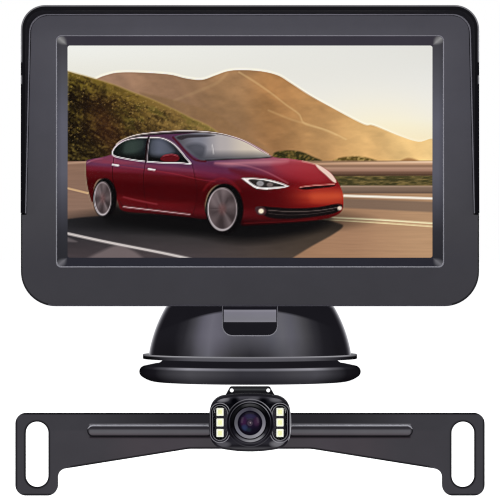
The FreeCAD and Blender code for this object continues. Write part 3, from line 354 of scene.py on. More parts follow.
def paint_picture(x, y):
    p = Painting(x, y)
    # sky
    sky = mixc(ramp(y, (20, "f0f0ea"), (160, "e9e7dc"), (420, "f1ead2")), ramp(y, (20, "e3e2dc"), (300, "ecebe8"), (380, "eeeddf"), (420, "f4f1da")), (x - 30) / 1500)
    p.lay(np.ones(len(x)), sky)
    glow = np.exp(-((x - 1330) / 330) ** 2 - ((y - 400) / 150) ** 2)
    p.lay(glow * 0.75, hexc("fff3cf"))
    # far ridge
    far = [(100, 200, 0), (150, 161), (200, 142), (245, 134), (330, 134), (450, 142), (520, 158), (585, 164), (640, 146), (690, 129), (745, 124), (830, 129),
           (900, 146), (950, 176), (1030, 228), (1120, 278), (1250, 346), (1295, 353), (1400, 396), (1480, 420), (1545, 412), (1560, 520, 0), (1000, 560), (400, 560), (100, 540, 0)]

    def far_colour(x, y):
        t = (x - 150) / 1400
        base = ramp(t, (0, "8a6c58"), (0.2, "876850"), (0.4, "93704e"), (0.52, "a3764a"), (0.66, "b98a58"), (0.8, "d3a468"), (0.93, "e6bd7c"), (1.0, "ecc888"))
        crest = np.clip(1 - (y - 130) / 190, 0, 1)
        base = base * (0.97 + 0.12 * crest[:, None])
        n = fbm(x / 60 + 3, y / 26, 5)
        fold = fbm((x - y * 0.9) / 75, (y + x * 0.25) / 160, 3)
        low = np.clip((y - 300) / 170, 0, 1) * np.clip((1000 - x) / 400, 0, 1)
        base = mixc(base, np.tile(hexc("82604e"), (len(x), 1)), low * 0.45)
        return np.clip(base * (0.80 + 0.22 * n + 0.22 * fold)[:, None], 0, 1)
    ridge = [(130, 172), (165, 153), (200, 142), (245, 134), (330, 134), (450, 142), (520, 158), (585, 164), (640, 146), (690, 129), (745, 124), (830, 129),
             (900, 146), (950, 176), (1030, 228), (1120, 278), (1250, 346), (1295, 353), (1400, 396), (1480, 420), (1545, 412)]
    p.line([(a, b - 4) for a, b in ridge], 9, hexc("fff8e0"), soft=9, alpha=0.75)
    p.shape(far, far_colour, soft=3)
    for pts, wdt, al in (([(738, 132), (800, 170), (865, 215), (930, 265), (985, 305), (1010, 345), (1100, 372), (1180, 410)], 4.0, 0.5),
                         ([(690, 135), (650, 175), (560, 215), (470, 250)], 12, 0.10), ([(860, 290), (960, 330), (1040, 352), (1140, 392)], 6, 0.25)):
        p.line(pts, wdt, hexc("f0cf94"), soft=7, alpha=al)
    # warm haze at the ridge's foot on the right
    haze = np.clip((x - 900) / 600, 0, 1) * np.clip((y - 330) / 150, 0, 1) * np.clip((520 - y) / 40, 0, 1)
    p.lay(haze * 0.35, hexc("f0c88a"))
    # middle ridge, behind the near one
    mid = [(330, 215, 0), (420, 235), (520, 262), (640, 300), (700, 340), (820, 420), (900, 470), (980, 510, 0), (300, 520, 0)]
    p.shape(mid, lambda x, y: ramp((x - 300) / 600, (0, "7a5f42"), (0.6, "8d6a47"), (1, "9a7450")) * (0.9 + 0.2 * fbm(x / 22, y / 18, 4))[:, None], soft=10, alpha=0.55)
    # near hill with scrub
    near = [(0, 118, 0), (60, 137), (120, 153), (220, 184), (300, 216), (380, 246), (460, 282), (540, 322), (600, 348), (650, 380), (690, 430), (660, 520, 0), (0, 520, 0)]

    def near_colour(x, y):
        t = (x - 30) / 620
        lit = ramp(t, (0, "66561f"), (0.35, "735c26"), (0.7, "7f6334"), (1, "9a7b48"))
        shade = ramp(t, (0, "120c04"), (0.3, "24170a"), (0.6, "3c2d16"), (1, "5c4628"))
        along = (y - 118) - (x - 30) * 0.42
        a_, b_ = x * 0.87 + y * 0.5, -x * 0.5 + y * 0.87
        n = 0.6 * fbm(a_ / 24, b_ / 9, 4) + 0.4 * fbm(x / 9, y / 8 + 40, 3)
        big = fbm(a_ / 150 + 9, b_ / 46, 3)
        k = 0.62 * n + 0.38 * big + 0.22 * np.exp(-np.clip(along, 0, 400) / 46) - 0.12 * np.clip(along / 240, 0, 1)
        c = mixc(shade, lit, (k - 0.38) * 4.2)
        green = np.clip((fbm(a_ / 60 + 5, b_ / 30, 3) - 0.45) * 5, 0, 1) * np.clip((x - 120) / 160, 0, 1)
        c = mixc(c, np.tile(hexc("57521f"), (len(x), 1)) * (0.55 + 0.9 * n[:, None]), green * 0.45)
        fleck = np.clip((fbm(a_ / 7 + 3, b_ / 5, 2) - 0.68) * 9, 0, 1)
        c = mixc(c, np.tile(hexc("a98a4e"), (len(x), 1)), fleck * 0.5)
        dark = np.clip((fbm(x / 26, y / 34 + 8, 3) - 0.50) * 6, 0, 1) * np.clip((300 - x) / 200, 0, 1) * np.clip((y - 150) / 60, 0, 1)
        c = mixc(c, np.tile(hexc("140d06"), (len(x), 1)), dark * 0.75)
        red = np.exp(-((x - 170 - (y - 300) * 0.35) / 70) ** 2) * np.clip((y - 200) / 120, 0, 1)
        c = mixc(c, np.tile(hexc("3a1f12"), (len(x), 1)) * (0.7 + 0.7 * n[:, None]), red * 0.55)
        brush = np.clip((y - 395) / 60, 0, 1) * np.clip((230 - x) / 60, 0, 1)
        return mixc(c, mixc(np.tile(hexc("1d1608"), (len(x), 1)), np.tile(hexc("6a5a2a"), (len(x), 1)), (n - 0.45) * 4), brush * 0.6)
    p.shape(near, near_colour, soft=4)
    p.line([(30, 128), (120, 153), (220, 184), (300, 216), (380, 246), (460, 282), (540, 322), (600, 348), (650, 380)], 6, hexc("b89a55"), soft=8, alpha=0.5)
    # verge and scrub behind the rail
    p.shape([(880, 470), (930, 456), (990, 460), (1040, 480), (1075, 505), (900, 520)], lambda x, y: mixc(np.tile(hexc("2c2a12"), (len(x), 1)), np.tile(hexc("6e5b2c"), (len(x), 1)), (fbm(x / 9, y / 7, 3) - 0.4) * 3), soft=8)
    p.shape([(1125, 500), (1160, 485), (1230, 480), (1290, 492), (1300, 506), (1130, 512)], lambda x, y: mixc(np.tile(hexc("55431c"), (len(x), 1)), np.tile(hexc("a58a50"), (len(x), 1)), (fbm(x / 9, y / 7, 3) - 0.4) * 3), soft=8)
    p.shape([(1405, 498), (1435, 487), (1465, 492), (1480, 503), (1410, 506)], hexc("8a5a34"), soft=8, alpha=0.7)
    # ground plane behind and beside the car
    p.shape([(0, 500, 0), (1560, 498, 0), (1560, 930, 0), (0, 930, 0)], lambda x, y: mixc(
        ramp((x - 30) / 1500, (0, "8a6a58"), (0.35, "6b5648"), (0.7, "8d6e56"), (1, "a98566")),
        ramp((x - 30) / 1500, (0, "8b6f60"), (0.4, "84664e"), (0.75, "a47d60"), (1, "b9926f")), (y - 500) / 300) * (0.95 + 0.1 * fbm(x / 110, y / 5, 3))[:, None], soft=3, sharp=True)
    # guard rail
    p.shape([(1040, 508, 0), (1560, 500, 0), (1560, 560, 0), (1040, 562, 0)], lambda x, y: ramp((y - 503) / 56, (0, "f2cfae"), (0.12, "c39a7c"), (0.3, "8c6a55"), (0.48, "b08a74"), (0.6, "a17b68"), (0.8, "6e5040"), (1, "4c3628")), soft=3, sharp=True)
    p.shape([(1060, 562, 0), (1560, 560, 0), (1560, 600, 0), (1060, 602, 0)], lambda x, y: mixc(np.tile(hexc("3f3a20"), (len(x), 1)), np.tile(hexc("7d6a3e"), (len(x), 1)), (fbm(x / 26, y / 6, 3) - 0.35) * 2), soft=5, sharp=True)
    p.shape([(1060, 600, 0), (1560, 602, 0), (1560, 634, 0), (1060, 632, 0)], lambda x, y: ramp((y - 600) / 34, (0, "a08872"), (0.4, "7d6656"), (1, "665246")), soft=3, sharp=True)
    p.line([(1120, 641), (1545, 654)], 9, hexc("f3e6d6"), soft=4)
    p.shape([(1120, 652, 0), (1560, 668, 0), (1560, 712, 0), (1120, 690, 0)], hexc("6f5c50"), soft=8, alpha=0.7, sharp=True)
    p.line([(1010, 727), (1300, 741), (1545, 757)], 6, hexc("fbedc0"), soft=3)
    p.line([(1010, 736), (1300, 753), (1545, 770)], 5, hexc("f6e2b0"), soft=3)
    p.line([(0, 604), (115, 632)], 6, hexc("d8b184"), soft=4)
    p.line([(30, 509), (180, 500)], 7, hexc("c9a58c"), soft=5, alpha=0.55)
    # shadow side of the road
    p.shape([(0, 742, 0), (140, 728), (400, 720), (800, 745), (1060, 742), (1150, 756), (1166, 772), (1120, 806), (1040, 850), (950, 905, 0), (0, 905, 0)],
            lambda x, y: mixc(ramp((x - 30) / 1100, (0, "2a292c"), (0.45, "2b2a2a"), (1, "3b322a")), ramp((x - 30) / 1100, (0, "433b3e"), (0.4, "473f41"), (1, "4d4036")), (y - 770) / 120)
            * (0.94 + 0.12 * fbm(x / 50, y / 12, 3))[:, None], soft=7)
    p.shape([(105, 905, 0), (170, 872), (240, 846), (300, 868), (350, 905, 0)], hexc("8b7c7c"), soft=14, alpha=0.6)
    p.shape([(20, 812), (60, 826), (70, 834), (20, 830)], hexc("7b7173"), soft=6, alpha=0.6)
    p.line([(20, 796), (200, 835), (420, 878), (540, 904)], 10, hexc("cfc6c3"), soft=4)
    # ---------------- car
    p.ellipse(620, 745, 500, 50, hexc("060506"), soft=44, alpha=0.95)
    p.shape([(205, 650), (300, 700), (600, 735), (900, 742), (1110, 740), (1000, 800), (760, 832), (560, 800), (330, 752), (200, 744)], hexc("080708"), soft=46, alpha=0.9)
    body = [(108, 505), (128, 492), (172, 484), (214, 470), (226, 440), (262, 410), (320, 390), (390, 380), (470, 375), (570, 375), (640, 381), (705, 395), (770, 418),
            (830, 449), (882, 483), (940, 489), (1005, 499), (1062, 516), (1108, 540), (1138, 575), (1158, 606), (1169, 648), (1165, 700), (1130, 728), (1050, 745),
            (930, 756), (800, 764), (745, 760), (740, 700), (700, 620), (655, 596), (612, 630), (596, 700), (606, 738), (520, 730), (380, 716), (262, 705), (236, 660), (205, 590), (168, 572),
            (142, 600), (134, 668), (122, 640), (110, 580)]

    def paintwork(x, y):
        side = ramp((y - 480 - (x - 110) * 0.06) / 240, (0, "55304e"), (0.12, "64304c"), (0.2, "6a1c2c"), (0.28, "520a10"), (0.45, "3e0003"), (0.68, "400205"), (0.82, "560c12"), (1, "240002"))
        side = side * (0.93 + 0.14 * fbm(x / 46, y / 20, 3))[:, None]
        front = ramp((y - 480) / 280, (0, "c05c68"), (0.14, "98303c"), (0.30, "7c1620"), (0.42, "66080f"), (0.55, "5c070c"), (0.72, "560609"), (0.9, "3c0406"), (1, "1c0203"))
        nose = ramp((y - 480) / 280, (0, "c46a6c"), (0.14, "9c3038"), (0.32, "841a20"), (0.42, "7e1418"), (0.50, "9c2a20"), (0.58, "b23c26"), (0.66, "9c2a1c"), (0.76, "6e0e0e"), (0.9, "4a0608"), (1, "200304"))
        kk = np.clip((x - 880) / 190, 0, 1)
        front = mixc(front, nose, kk * kk * (3 - 2 * kk))
        k = np.clip((x - 700) / 330, 0, 1)
        return mixc(side, front, k * k * (3 - 2 * k))
    p.shape(body, paintwork, soft=2.5)
    # roof and upper edge
    p.shape([(262, 410), (330, 388), (470, 374), (570, 374), (642, 381), (712, 397), (640, 392), (560, 386), (480, 388), (400, 392), (330, 400), (285, 412)], hexc("2c2026"), soft=3)
    p.line([(232, 430), (262, 410), (330, 389), (470, 376), (560, 376), (640, 383), (700, 395), (770, 420), (860, 472)], 3.5, hexc("f0e2d6"), soft=3, alpha=0.9)
    p.line([(176, 489), (150, 492), (112, 506)], 3, hexc("c88f95"), soft=4, alpha=0.7)
    # rear deck
    p.shape([(122, 497), (172, 486), (218, 474), (240, 492), (330, 505), (250, 512), (160, 508)], hexc("8a3d52"), soft=8, alpha=0.7)
    # side windows, chrome frame
    frame_ = [(214, 462), (232, 434), (270, 412), (320, 402), (372, 400), (424, 404), (466, 424), (500, 458), (520, 484), (542, 512), (500, 510), (420, 508), (330, 501), (262, 490), (222, 480)]
    p.shape(frame_, hexc("dccfd2"), soft=2.5)
    glass_ = [(219, 462), (236, 437), (272, 415), (320, 405.5), (372, 403.5), (422, 407.5), (463, 427), (496, 460), (514, 483), (532, 507), (500, 505.5), (420, 503.5), (330, 496.5), (264, 486), (225, 476)]
    p.shape(glass_, lambda x, y: mixc(ramp((x - 220) / 310, (0, "0c1210"), (0.25, "26302c"), (0.45, "12161a"), (0.62, "464a58"), (0.85, "23262c"), (1, "16171a")), np.tile(hexc("050505"), (len(x), 1)), (y - 462) / 30), soft=2.5)
    p.shape([(268, 430), (300, 418), (345, 414), (338, 452), (268, 468)], hexc("42504a"), soft=14, alpha=0.45)
    p.shape([(376, 415), (418, 416), (450, 436), (470, 462), (420, 478), (372, 470)], hexc("6c707e"), soft=18, alpha=0.5)
    p.line([(366, 402), (358, 440), (354, 500)], 9, hexc("17090c"), soft=2.5)
    p.line([(371, 403), (364, 440), (360, 500)], 2.2, hexc("b9aab0"), soft=2.5)
    # mirror
    p.shape([(414, 490), (430, 474), (462, 470), (486, 476), (492, 492), (470, 504), (432, 502)], hexc("5a0f16"), soft=3)
    p.line([(426, 478), (460, 472), (484, 478)], 3, hexc("a04a54"), soft=3)
    # windscreen
    screen_ = [(474, 398), (520, 388), (580, 385), (650, 389), (712, 402), (770, 424), (826, 456), (872, 484), (800, 491), (700, 494), (600, 499), (560, 484), (520, 452), (492, 420)]
    p.shape(screen_, lambda x, y: mixc(ramp((x - 470) / 400, (0, "4d4a50"), (0.25, "7b7b86"), (0.5, "b1a9a8"), (0.75, "cfc2b2"), (1, "efe2cc")), np.tile(hexc("3f3f46"), (len(x), 1)), np.clip((y - 452) / 36, 0, 1) * 0.8), soft=3)
    p.shape([(482, 402), (520, 391), (600, 390), (640, 394), (600, 400), (530, 404), (500, 412)], hexc("2b262a"), soft=5, alpha=0.85)
    p.shape([(520, 440), (560, 425), (600, 440), (590, 480), (560, 478)], hexc("2f3038"), soft=16, alpha=0.55)
    p.line([(628, 432), (634, 470)], 3, hexc("e8e4e0"), soft=3, alpha=0.6)
    p.line([(600, 497), (700, 492), (800, 489), (874, 483)], 4, hexc("1a1014"), soft=3)
    p.line([(466, 402), (486, 424), (520, 462), (556, 494), (600, 501)], 8, hexc("4a1420"), soft=3)
    # bonnet: soft highlights and creases
    p.shape([(640, 508), (740, 498), (860, 494), (940, 498), (900, 512), (760, 516), (690, 520)], hexc("d08a92"), soft=20, alpha=0.7)
    p.shape([(880, 512), (960, 508), (1040, 528), (1100, 565), (1050, 585), (960, 570), (900, 545)], hexc("a8323c"), soft=30, alpha=0.45)
    p.shape([(700, 530), (800, 548), (900, 575), (960, 596), (900, 590), (790, 570), (720, 556)], hexc("5b0d14"), soft=16, alpha=0.7)
    p.line([(640, 508), (740, 514), (840, 540), (940, 590)], 4, hexc("d0808a"), soft=8, alpha=0.5)
    p.line([(1000, 500), (1060, 516), (1110, 546), (1138, 580)], 3, hexc("e9b6a6"), soft=5, alpha=0.8)
    # shoulder line, door lines, sill
    p.line([(180, 500), (300, 514), (440, 528), (560, 540), (640, 556)], 10, hexc("8a3446"), soft=12, alpha=0.45)
    p.line([(250, 522), (360, 536), (470, 552), (560, 572), (640, 584)], 3, hexc("9a2c38"), soft=5, alpha=0.65)
    p.shape([(545, 520), (620, 512), (700, 532), (740, 560), (690, 590), (600, 575)], hexc("5e1c3c"), soft=26, alpha=0.45)
    p.line([(592, 620), (620, 588), (664, 572), (706, 584), (742, 622)], 7, hexc("8c1c24"), soft=12, alpha=0.5)
    p.line([(222, 486), (216, 560), (236, 640), (262, 696)], 2.2, hexc("1c0204"), soft=2.5, alpha=0.8)
    p.line([(352, 504), (344, 570), (350, 650), (362, 700)], 2.2, hexc("1c0204"), soft=2.5, alpha=0.8)
    p.line([(546, 512), (556, 560), (566, 640), (548, 724)], 2.2, hexc("1c0204"), soft=2.5, alpha=0.7)
    p.shape([(225, 640), (330, 652), (450, 668), (560, 676), (470, 690), (340, 676), (240, 664)], hexc("6a1016"), soft=24, alpha=0.6)
    p.line([(262, 648), (330, 664), (400, 678)], 4, hexc("a04048"), soft=7, alpha=0.7)
    p.line([(262, 688), (400, 704), (536, 720)], 4.5, hexc("c9a6a8"), soft=3, alpha=0.85)
    for hx, hy in ((229, 516), (378, 534)):
        p.line([(hx - 12, hy - 2), (hx + 12, hy + 2)], 7, hexc("e6dcdc"), soft=2.5)
    # headlight
    p.shape([(748, 570, 0), (800, 570), (860, 576), (912, 590), (946, 604, 0), (915, 611), (860, 616), (812, 612), (780, 594)], hexc("e3d6d0"), soft=3)
    p.shape([(778, 577), (830, 577), (890, 590), (928, 603), (880, 607), (838, 608), (804, 600)], hexc("2a2524"), soft=3)
    p.ellipse(826, 592, 15, 11, hexc("8d8a8c"), soft=4)
    p.ellipse(866, 597, 13, 9, hexc("6c6260"), soft=4)
    p.line([(760, 573), (790, 596), (812, 610), (856, 614)], 4, hexc("fff6ee"), soft=3)
    p.shape([(1056, 514), (1090, 530), (1122, 556), (1140, 586), (1126, 584), (1096, 556), (1068, 532)], hexc("f2d9c8"), soft=3, alpha=0.9)
    # nose: a slim plain grille and a wide lower intake
    p.shape([(985, 610), (1040, 604), (1100, 600), (1136, 598), (1120, 606), (1060, 613), (1010, 618)], hexc("1d0a0a"), soft=4)
    p.line([(990, 607), (1050, 600), (1132, 595)], 3, hexc("e8a79a"), soft=3, alpha=0.8)
    p.shape([(1040, 634), (1100, 628), (1150, 630), (1158, 656), (1100, 668), (1040, 664)], hexc("cc5030"), soft=30, alpha=0.55)
    p.shape([(826, 688), (880, 690), (960, 694), (1060, 690), (1140, 676), (1166, 684), (1140, 712), (1060, 728), (960, 738), (880, 736), (840, 722)], hexc("0e090a"), soft=4)
    p.line([(858, 702), (950, 708), (1060, 704), (1150, 690)], 3, hexc("6f605c"), soft=3, alpha=0.8)
    p.line([(862, 716), (950, 722), (1050, 716), (1130, 704)], 2.4, hexc("4b403e"), soft=3, alpha=0.8)
    p.shape([(806, 690), (838, 688), (852, 706), (842, 722), (814, 718)], hexc("40262a"), soft=4)
    p.ellipse(830, 706, 11, 10, hexc("f3e2c8"), soft=6)
    p.ellipse(1154, 694, 9, 8, hexc("f0dcc8"), soft=5, alpha=0.9)
    p.line([(760, 756), (850, 752), (960, 747), (1060, 738)], 3, hexc("6e1418"), soft=4, alpha=0.8)
    # wheels, blurred by speed
    for cx, cy, rx, ry in ((176, 654, 36, 70), (670, 698, 62, 90)):
        big = rx > 50
        p.ellipse(cx + (9 if big else 9), cy + (0 if big else -2), rx * (1.26 if big else 1.36), ry * 1.17, hexc("060405"), soft=5)
        p.ellipse(cx, cy, rx * 1.02, ry * 1.02, hexc("100d0e"), soft=3)
        u, v = (p.x - cx) / rx, (p.y - cy) / ry
        r, th = np.hypot(u, v), np.arctan2(v, u)
        face = mixc(np.tile(hexc("3a3031"), (len(p.x), 1)), np.tile(hexc("857678"), (len(p.x), 1)), 0.18 + 0.30 * value_noise(th * 3.2 + 40 + cx, r * 2.0 + 7) + 0.22 * np.cos(th * 5 + 0.6) * np.clip(r * 1.4, 0, 1) + 0.30 * np.clip(-u * 0.4 - v * 0.7, -1, 1))
        p.lay(np.clip((1.0 - r) * 30, 0, 1), face)
        glare = np.clip(1 - np.abs(th + 2.1) / 0.34, 0, 1) + np.clip(1 - np.abs(th - 0.9) / 0.3, 0, 1)
        p.lay(np.clip((0.93 - r) * 12, 0, 1) * glare * 0.28, hexc("b9aaab"))
        p.ellipse(cx, cy, rx * 0.24, ry * 0.24, hexc("7c4a48"), soft=16, alpha=0.4)
        rim = np.exp(-((r - 0.955) / (0.045 if big else 0.06)) ** 2) * (0.62 + 0.38 * np.clip(v * 0.9 - u * 0.5, -1, 1))
        p.lay(rim, hexc("cfc5c8"))
    # panel softness: lighter rim where the back light meets the frame, fading out towards the foot
    edge = np.minimum(np.minimum(p.x - 30, 1538 - p.x), np.minimum(p.y - 21, 898 - p.y))
    p.lay(np.clip(1 - edge / 9, 0, 1) * 0.25 * np.clip((500 - p.y) / 300, 0, 1), hexc("ffffff"))
    return np.clip(p.c, 0, 1)


# ---------------------------------------------------------------- painted light and shade: gradients in the row frame
def ramp_node(m, value, stops, lo, hi):
    """A colour ramp over value, running from lo to hi; stops are (value, hex)."""
    fac = m.span(value, 0.0, 1.0, lo, hi)
    r = m.node("ValToRGB")
    el = r.color_ramp.elements
    while len(el) < len(stops):
        el.new(0.5)
    while len(el) > len(stops):
        el.remove(el[-1])
    for e, (v, h) in zip(el, sorted(stops)):
        e.position = min(1, max(0, (v - lo) / (hi - lo)))
    for e, (v, h) in zip(el, sorted(stops)):
        e.color = (lin(h) if isinstance(h, str) else list(h)) + [1.0]
    m.link(fac, r.inputs[0])
    return r.outputs[0]


def axis_value(m, which, offset=0.0):
    """A coordinate in the row frame, in mm, less offset."""
    s = m.node("SeparateXYZ")
    m.link(m.co.outputs["Object"], s.inputs[0])
    k = m.node("Math", operation="MULTIPLY_ADD")
    m.link(s.outputs["XYZ".index(which)], k.inputs[0])
    k.inputs[1].default_value = 1000.0
    k.inputs[2].default_value = -offset
    return k.outputs[0]


def turn_value(m):
    """The angle round the base's axis in degrees: 0 at the front, positive to the viewer's right."""
    s = m.node("SeparateXYZ")
    m.link(m.co.outputs["Object"], s.inputs[0])
    neg = m.node("Math", operation="MULTIPLY")
    m.link(s.outputs[1], neg.inputs[0])
    neg.inputs[1].default_value = -1.0
    a = m.node("Math", operation="ARCTAN2")
    m.link(s.outputs[0], a.inputs[0])
    m.link(neg.outputs[0], a.inputs[1])
    d = m.node("Math", operation="DEGREES") if False else m.node("Math", operation="MULTIPLY")
    m.link(a.outputs[0], d.inputs[0])
    d.inputs[1].default_value = 57.29578
    return d.outputs[0]


def painted_light_surface(name, colour_of, gain=1.0, rough=0.4, spec=0.3, coat=0.0, coat_rough=0.15, grain=0.002, grain_scale=2600.0, painted_glow_strength=0.0, uneven=0.06, vary=0.04):
    """A surface whose colour is a painted gradient of studio light and shade, built by colour_of(m); part of it can be
    given as a painted glow (emission), so that the painted light stays where it is while the piece is turned."""
    m = Mat(name)
    col = colour_of(m)
    p = m.node("BsdfPrincipled")
    patch = m.span(m.noise(70.0, 3.0, 0.6), 1 - vary, 1 + vary, 0.3, 0.7)
    vm = m.node("VectorMath", operation="SCALE")
    m.link(col, vm.inputs[0])
    m.link(patch, vm.inputs["Scale"])
    g = m.node("VectorMath", operation="SCALE")
    m.link(vm.outputs[0], g.inputs[0])
    g.inputs["Scale"].default_value = gain
    m.link(g.outputs[0], p.inputs["Base Color"])
    m.link(m.span(m.noise(95.0, 4.0, 0.6), rough - uneven * 0.5, rough + uneven * 0.5, 0.3, 0.7), p.inputs["Roughness"])
    p.inputs["Specular IOR Level"].default_value = spec
    p.inputs["Coat Weight"].default_value = coat
    p.inputs["Coat Roughness"].default_value = coat_rough
    # painted glow: the painted colour is also given off as emission, so the piece glows though no lamp lights it
    if painted_glow_strength:
        m.link(vm.outputs[0], p.inputs["Emission Color"])
        p.inputs["Emission Strength"].default_value = painted_glow_strength
    if grain:
        m.link(m.bumps((m.noise(grain_scale, 2.0, 0.6), grain)), p.inputs["Normal"])
    m.link(p.outputs[0], m.out.inputs["Surface"])
    return m.m


def retag(node, *rules):
    """Gives some faces of a CAD node another finish. A rule is (material, test), test taking the faces' centres in mm and normals."""
    me = NODES[node].data
    n = len(me.polygons)
    c, nn = np.zeros(n * 3), np.zeros(n * 3)
    me.polygons.foreach_get("center", c)
    me.polygons.foreach_get("normal", nn)
    c, nn = c.reshape(-1, 3) * 1000, nn.reshape(-1, 3)
    idx = np.zeros(n, np.int32)
    for mat, test in rules:
        me.materials.append(mat)
        idx[test(c, nn)] = len(me.materials) - 1
    me.polygons.foreach_set("material_index", idx)
    me.update()


def emitting(name, colour, strength, base=None):
    m = Mat(name)
    p = m.node("BsdfPrincipled")
    p.inputs["Base Color"].default_value = list(base or colour) + [1]
    p.inputs["Roughness"].default_value = 0.35
    p.inputs["Emission Color"].default_value = list(colour) + [1]
    m.link(m.span(m.noise(900.0, 2.0), strength * 0.93, strength * 1.07, 0.3, 0.7), p.inputs["Emission Strength"])
    m.link(p.outputs[0], m.out.inputs["Surface"])
    return m.m


MATS["led_white"] = emitting("led_white", lin("fbfbe6"), 0.75, (0.6, 0.6, 0.55))
MATS["led_yellow"] = emitting("led_yellow", lin("f2f3b6"), 0.85, (0.5, 0.5, 0.25))


def lens_painted_reflections():
    """Dark glass with painted reflections: the violet, blue and green flares of an anti-reflection coating, a pale
    glint at the middle and a dark rim, given as emission and laid out round the lens axis.
    """
    m = Mat("lens_coated")
    sep = m.node("SeparateXYZ")
    m.link(m.co.outputs["Object"], sep.inputs[0])

    def offset(sock, v, s):
        a = m.node("Math", operation="SUBTRACT")
        a.inputs[1].default_value = v
        m.link(sock, a.inputs[0])
        b = m.node("Math", operation="MULTIPLY")
        b.inputs[1].default_value = s
        m.link(a.outputs[0], b.inputs[0])
        return b.outputs[0]

    u, v = offset(sep.outputs[0], 0.0, 1 / 0.00485), offset(sep.outputs[2], CAM_Z, 1 / 0.00485)

    def spot(cx, cy, rx, ry, power=1.0):
        """1 at the spot's middle, falling to 0 at its rim."""
        parts = []
        for s, c, r in ((u, cx, rx), (v, cy, ry)):
            a = m.node("Math", operation="SUBTRACT")
            a.inputs[1].default_value = c
            m.link(s, a.inputs[0])
            b = m.node("Math", operation="DIVIDE")
            b.inputs[1].default_value = r
            m.link(a.outputs[0], b.inputs[0])
            q = m.node("Math", operation="POWER")
            q.inputs[1].default_value = 2.0
            ab = m.node("Math", operation="ABSOLUTE")
            m.link(b.outputs[0], ab.inputs[0])
            m.link(ab.outputs[0], q.inputs[0])
            parts.append(q.outputs[0])
        s = m.node("Math", operation="ADD")
        m.link(parts[0], s.inputs[0])
        m.link(parts[1], s.inputs[1])
        return m.span(s.outputs[0], power, 0.0, 0.0, 1.0)

    # painted reflections, given as emission: coloured flares, a pale glint at the middle and a dark rim
    col = m.blend(spot(0, 0, 1.0, 1.0), lin("0a0712"), lin("140a22"))
    for cx, cy, rx, ry, k, h in ((0.0, 0.56, 0.62, 0.30, 0.9, "2e2b48"), (-0.54, 0.14, 0.36, 0.50, 0.9, "3a183e"), (0.56, 0.14, 0.36, 0.46, 0.9, "402440"), (-0.46, -0.40, 0.34, 0.34, 0.9, "2a3658"),
                                 (-0.10, -0.56, 0.30, 0.22, 0.6, "1c3038"), (0.38, -0.62, 0.40, 0.30, 0.8, "050610"), (0.0, 0.0, 0.42, 0.42, 0.8, "1a1424"), (0.0, 0.0, 0.27, 0.27, 1.0, "5a4c5c"),
                                 (0.0, 0.0, 0.17, 0.17, 1.0, "17121c"), (0.03, 0.03, 0.09, 0.09, 1.0, "9a8f95")):
        col = m.blend(spot(cx, cy, rx, ry, k), col, lin(h))
    col = m.blend(m.span(spot(0, 0, 1.0, 1.0), 1.0, 0.0, 0.2, 0.46), col, lin("05030e"))
    p = m.node("BsdfPrincipled")
    p.inputs["Roughness"].default_value = 0.05
    p.inputs["Coat Weight"].default_value = 0.03
    p.inputs["Coat Roughness"].default_value = 0.03
    p.inputs["Base Color"].default_value = (0.004, 0.003, 0.006, 1)
    m.link(col, p.inputs["Emission Color"])
    m.link(m.span(m.noise(200.0, 2.0), 0.85, 1.0, 0.3, 0.7), p.inputs["Emission Strength"])
    p.inputs["Specular IOR Level"].default_value = 0.02
    m.link(p.outputs[0], m.out.inputs["Surface"])
    return m.m


# the lens glass takes its painted reflections
MATS["lens_coated"] = lens_painted_reflections()
MATS["lens_inner"] = surface("lens_inner", [0.03, 0.03, 0.08], 0.06, coat=0.8, coat_rough=0.02, grain=0)


def lit_picture():
    """The lit display: vertex colours, a very fine panel grain, and a slight fall-off with the viewing angle."""
    m = Mat("display")
    a = m.node("Attribute", attribute_name="picture")
    lw = m.node("LayerWeight", Blend=0.35)
    tone = m.span(m.noise(5200.0, 1.0), 0.985, 1.015, 0.3, 0.7)
    fall = m.span(lw.outputs["Facing"], 1.0, 0.55)
    k = m.node("Math", operation="MULTIPLY")
    m.link(tone, k.inputs[0])
    m.link(fall, k.inputs[1])
    p = m.node("BsdfPrincipled")
    p.inputs["Base Color"].default_value = (0.001, 0.001, 0.001, 1)
    p.inputs["Roughness"].default_value = 0.3
    p.inputs["Specular IOR Level"].default_value = 0.02
    m.link(a.outputs["Color"], p.inputs["Emission Color"])
    m.link(k.outputs[0], p.inputs["Emission Strength"])
    m.link(p.outputs[0], m.out.inputs["Surface"])
    return m.m


MATS["display"] = lit_picture()

# every CAD node takes its slot's material
for n, o in NODES.items():
    o.data.materials.clear()
    o.data.materials.append(MATS[SLOT[n]])


# ---------------------------------------------------------------- meshes
def mesh(name, verts, faces, slot=None, body=None, smooth=True, angle=32.0, weighted=True):
    me = bpy.data.meshes.new(name)
    me.from_pydata([tuple(v) for v in verts], [], [tuple(f) for f in faces])
    me.validate()
    me.update()
    o = bpy.data.objects.new(name, me)
    scene.collection.objects.link(o)
    if smooth:
        for p in me.polygons:
            p.use_smooth = True
        me.set_sharp_from_angle(angle=math.radians(angle))
        if weighted:
            w = o.modifiers.new("normals", "WEIGHTED_NORMAL")
            w.keep_sharp = True
            w.weight = 60
    if slot:
        me.materials.append(MATS[slot])
    if body:
        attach(o, body)
    return o


def tube(name, loops, slot, body, closed=False, caps=(False, False), **kw):
    """Joins rings of points, in order. closed joins the last ring to the first; caps fills the first and last."""
    loops = [np.asarray(l, float) for l in loops]
    n = len(loops[0])
    verts = np.concatenate(loops)
    faces = []
    m = len(loops)
    for i in range(m if closed else m - 1):
        a, b = i * n, ((i + 1) % m) * n
        for j in range(n):
            k = (j + 1) % n
            faces.append((a + j, a + k, b + k, b + j))
    if caps[0]:
        faces.append(tuple(reversed(range(n))))
    if caps[1]:
        faces.append(tuple((m - 1) * n + j for j in range(n)))
    return mesh(name, verts, faces, slot, body, **kw)


